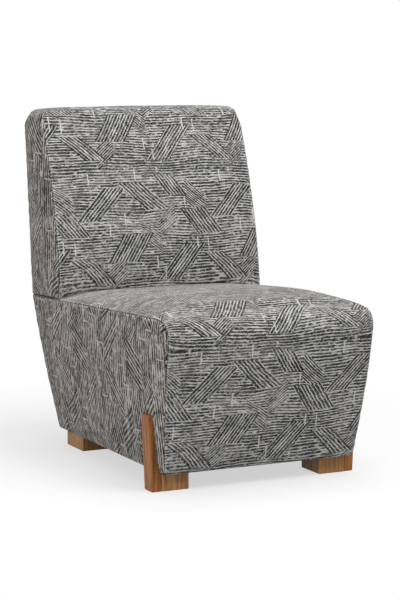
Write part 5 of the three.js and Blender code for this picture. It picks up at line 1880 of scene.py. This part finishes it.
# Each lamp's name and place, the height that it faces, its size and its power.
LAMPS = (
    ("key_light", (1.4, -2.9, 3.8), 0.45, 2.2, 115.0),
    ("top_light", (0.2, 0.1, 4.2), 0.4, 2.6, 75.0),
    ("fill_light", (-4.2, -1.4, 1.9), 0.4, 2.4, 46.0),
)


@dataclass
class Studio:
    """The pale floor, the soft lights and the camera at the photograph's place."""

    eye: tuple[float, float, float] = (-2.056, -4.191, 0.995)
    azimuth: float = math.radians(-26.33)
    pitch: float = math.radians(7.34)
    lens: float = 113.46
    sensor_width: float = 36.0
    world_strength: float = 0.42
    floor_size: float = 60.0
    shadow_reach: float = 1.3
    shadow_share: float = 0.35
    floor_glow: float = 0.6

    def build(self) -> None:
        """Builds the studio."""
        scene = bpy.context.scene
        scene.view_settings.view_transform = "Standard"
        self._camera(scene)
        self._world(scene)
        self._floor()
        for lamp in LAMPS:
            self._lamp(*lamp)

    def _camera(self, scene: bpy.types.Scene) -> None:
        """Puts the camera where the photograph was taken."""
        level = math.cos(self.pitch)
        cosine, sine = math.cos(self.azimuth), math.sin(self.azimuth)
        forward = Vector((-sine * level, cosine * level, -math.sin(self.pitch)))
        right = Vector((cosine, sine, 0.0))
        turned = Matrix((right, right.cross(forward), -forward)).transposed().to_4x4()
        data = bpy.data.cameras.new("camera")
        configure(data, lens=self.lens, sensor_width=self.sensor_width, sensor_fit="AUTO")
        scene.camera = linked("camera", data)
        scene.camera.matrix_world = Matrix.Translation(self.eye) @ turned

    def _world(self, scene: bpy.types.Scene) -> None:
        """A soft white world, which the camera sees as white."""
        world = bpy.data.worlds.new("world")
        world.use_nodes = True
        world.node_tree.nodes.clear()
        node = partial(add_node, world.node_tree)
        rays = node("ShaderNodeLightPath", {}, {}).outputs
        sockets = {0: rays["Is Camera Ray"], 1: rays["Is Glossy Ray"]}
        seen = node("ShaderNodeMath", {"operation": "MAXIMUM"}, sockets)
        soft = node("ShaderNodeBackground", {}, {"Strength": self.world_strength, "Color": WHITE})
        white = node("ShaderNodeBackground", {}, {"Color": WHITE})
        sockets = {0: seen.outputs[0], 1: soft.outputs[0], 2: white.outputs[0]}
        blend = node("ShaderNodeMixShader", {}, sockets)
        node("ShaderNodeOutputWorld", {}, {"Surface": blend.outputs[0]})
        scene.world = world

    def _floor(self) -> None:
        """A pale floor that keeps the chair's shadow and runs out into white."""
        half = self.floor_size / 2.0
        corners = [(-half, -half, 0.0), (half, -half, 0.0), (half, half, 0.0), (-half, half, 0.0)]
        mesh = bpy.data.meshes.new("floor")
        mesh.from_pydata(corners, [], [(0, 1, 2, 3)])
        floor = linked("floor", mesh)
        tree = ShaderTree("floor_white")
        x, y, _ = tree.object_place()
        distance = (x * x + y * y).root()
        rays = tree.node("ShaderNodeLightPath", {}, {}).outputs
        seen = tree.math("MAXIMUM", rays["Is Camera Ray"], rays["Is Glossy Ray"])
        open_floor = tree.step(distance, self.shadow_reach * self.shadow_share, self.shadow_reach)
        bare = open_floor * (1.0 - self.floor_glow) + self.floor_glow
        bounce = tree.node("ShaderNodeBsdfDiffuse", {}, {"Color": (0.5, 0.5, 0.5, 1.0)})
        shaded = tree.node("ShaderNodeBsdfDiffuse", {}, {"Color": (0.85, 0.85, 0.85, 1.0)})
        glow = tree.node("ShaderNodeEmission", {}, {"Color": WHITE, "Strength": 1.0})
        shown = tree.node("ShaderNodeMixShader", {}, {0: bare, 1: shaded.outputs[0], 2: glow.outputs[0]})
        blend = tree.node("ShaderNodeMixShader", {}, {0: seen, 1: bounce.outputs[0], 2: shown.outputs[0]})
        tree.node("ShaderNodeOutputMaterial", {}, {"Surface": blend.outputs[0]})
        mesh.materials.append(tree.material)

    @staticmethod
    def _lamp(name: str, place: Sequence[float], aim: float, size: float, power: float) -> None:
        """A soft square light that faces a height on the chair's middle line."""
        data = bpy.data.lights.new(name, "AREA")
        configure(data, shape="SQUARE", size=size, energy=power)
        turned = (Vector((0.0, 0.0, aim)) - Vector(place)).to_track_quat("-Z", "Y").to_matrix().to_4x4()
        linked(name, data).matrix_world = Matrix.Translation(place) @ turned


# Assembly


def dress_nodes(frame: dict[str, Any], finishes: dict[Slot, bpy.types.Material]) -> None:
    """Gives each node that is carried over its finish."""
    for name, node in sorted(frame["nodes"].items()):
        if node.hide_render:
            continue
        finish = finishes[slot_of_node(name)]
        if not node.material_slots:
            node.data.materials.append(finish)
        for held in node.material_slots:
            held.material = finish
        LOG.info("%s carried over in %s", name, finish.name)


def staple_paths() -> list[np.ndarray]:
    """Lines just below the dust cover's edges, between the feet."""
    low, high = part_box("dust_cover")
    _, block_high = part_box("front_foot_block_left")
    rear_low, rear_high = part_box("rear_foot_left")
    inset, clear, drop = 0.010, 0.020, 0.0004
    level = low.z - drop
    paths = [
        ((x, block_high.y + clear, level), (x, rear_low.y - clear, level))
        for x in (low.x + inset, high.x - inset)
    ]
    for y, edge in ((low.y + inset, block_high.x), (high.y - inset, rear_high.x)):
        paths.append(((edge + clear, y, level), (-edge - clear, y, level)))
    return [np.array(path) for path in paths]


def main() -> None:
    """Builds the chair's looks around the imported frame."""
    logging.basicConfig(level=logging.INFO, format="%(name)s: %(message)s")
    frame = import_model()
    Studio().build()
    finishes = make_finishes()
    foot_setback = 0.030
    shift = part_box("front_foot_block_left")[0].y - foot_setback
    sizes = ChairSizes(depth_shift=shift, base_bottom=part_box("seat_cover")[0].z)
    base, back = BaseUpholstery(sizes, finishes), BackUpholstery(sizes, finishes)
    base.build()
    back.build()
    Padding(frame, back).build()
    FlatCloths(frame, finishes).build()
    faded_oak = StainedWood("faded_stained_oak", tone(200, 146, 90), tone(138, 98, 58)).build()
    OakFeet(frame, finishes[Slot.STAINED_OAK], faded_oak).build()
    thread = Filling("seam_thread", tone(150, 147, 141), tone(96, 94, 92), 0.0012, 0.0001).build()
    stitches = Fastening(
        "seam_stitches", BitShape.STITCH, thread, Slot.FRONT_CLOTH, pitch=0.0048, length=0.0036,
        thickness=0.0009)
    stitches.build(base.seams + back.seams)
    staples = Fastening(
        "dust_cover_staples", BitShape.STAPLE, finishes[Slot.SPRING_STEEL], Slot.SPRING_STEEL,
        pitch=0.034, length=0.010, thickness=0.0007)
    staples.build(staple_paths())
    dress_nodes(frame, finishes)


if __name__ == "__main__":
    main()
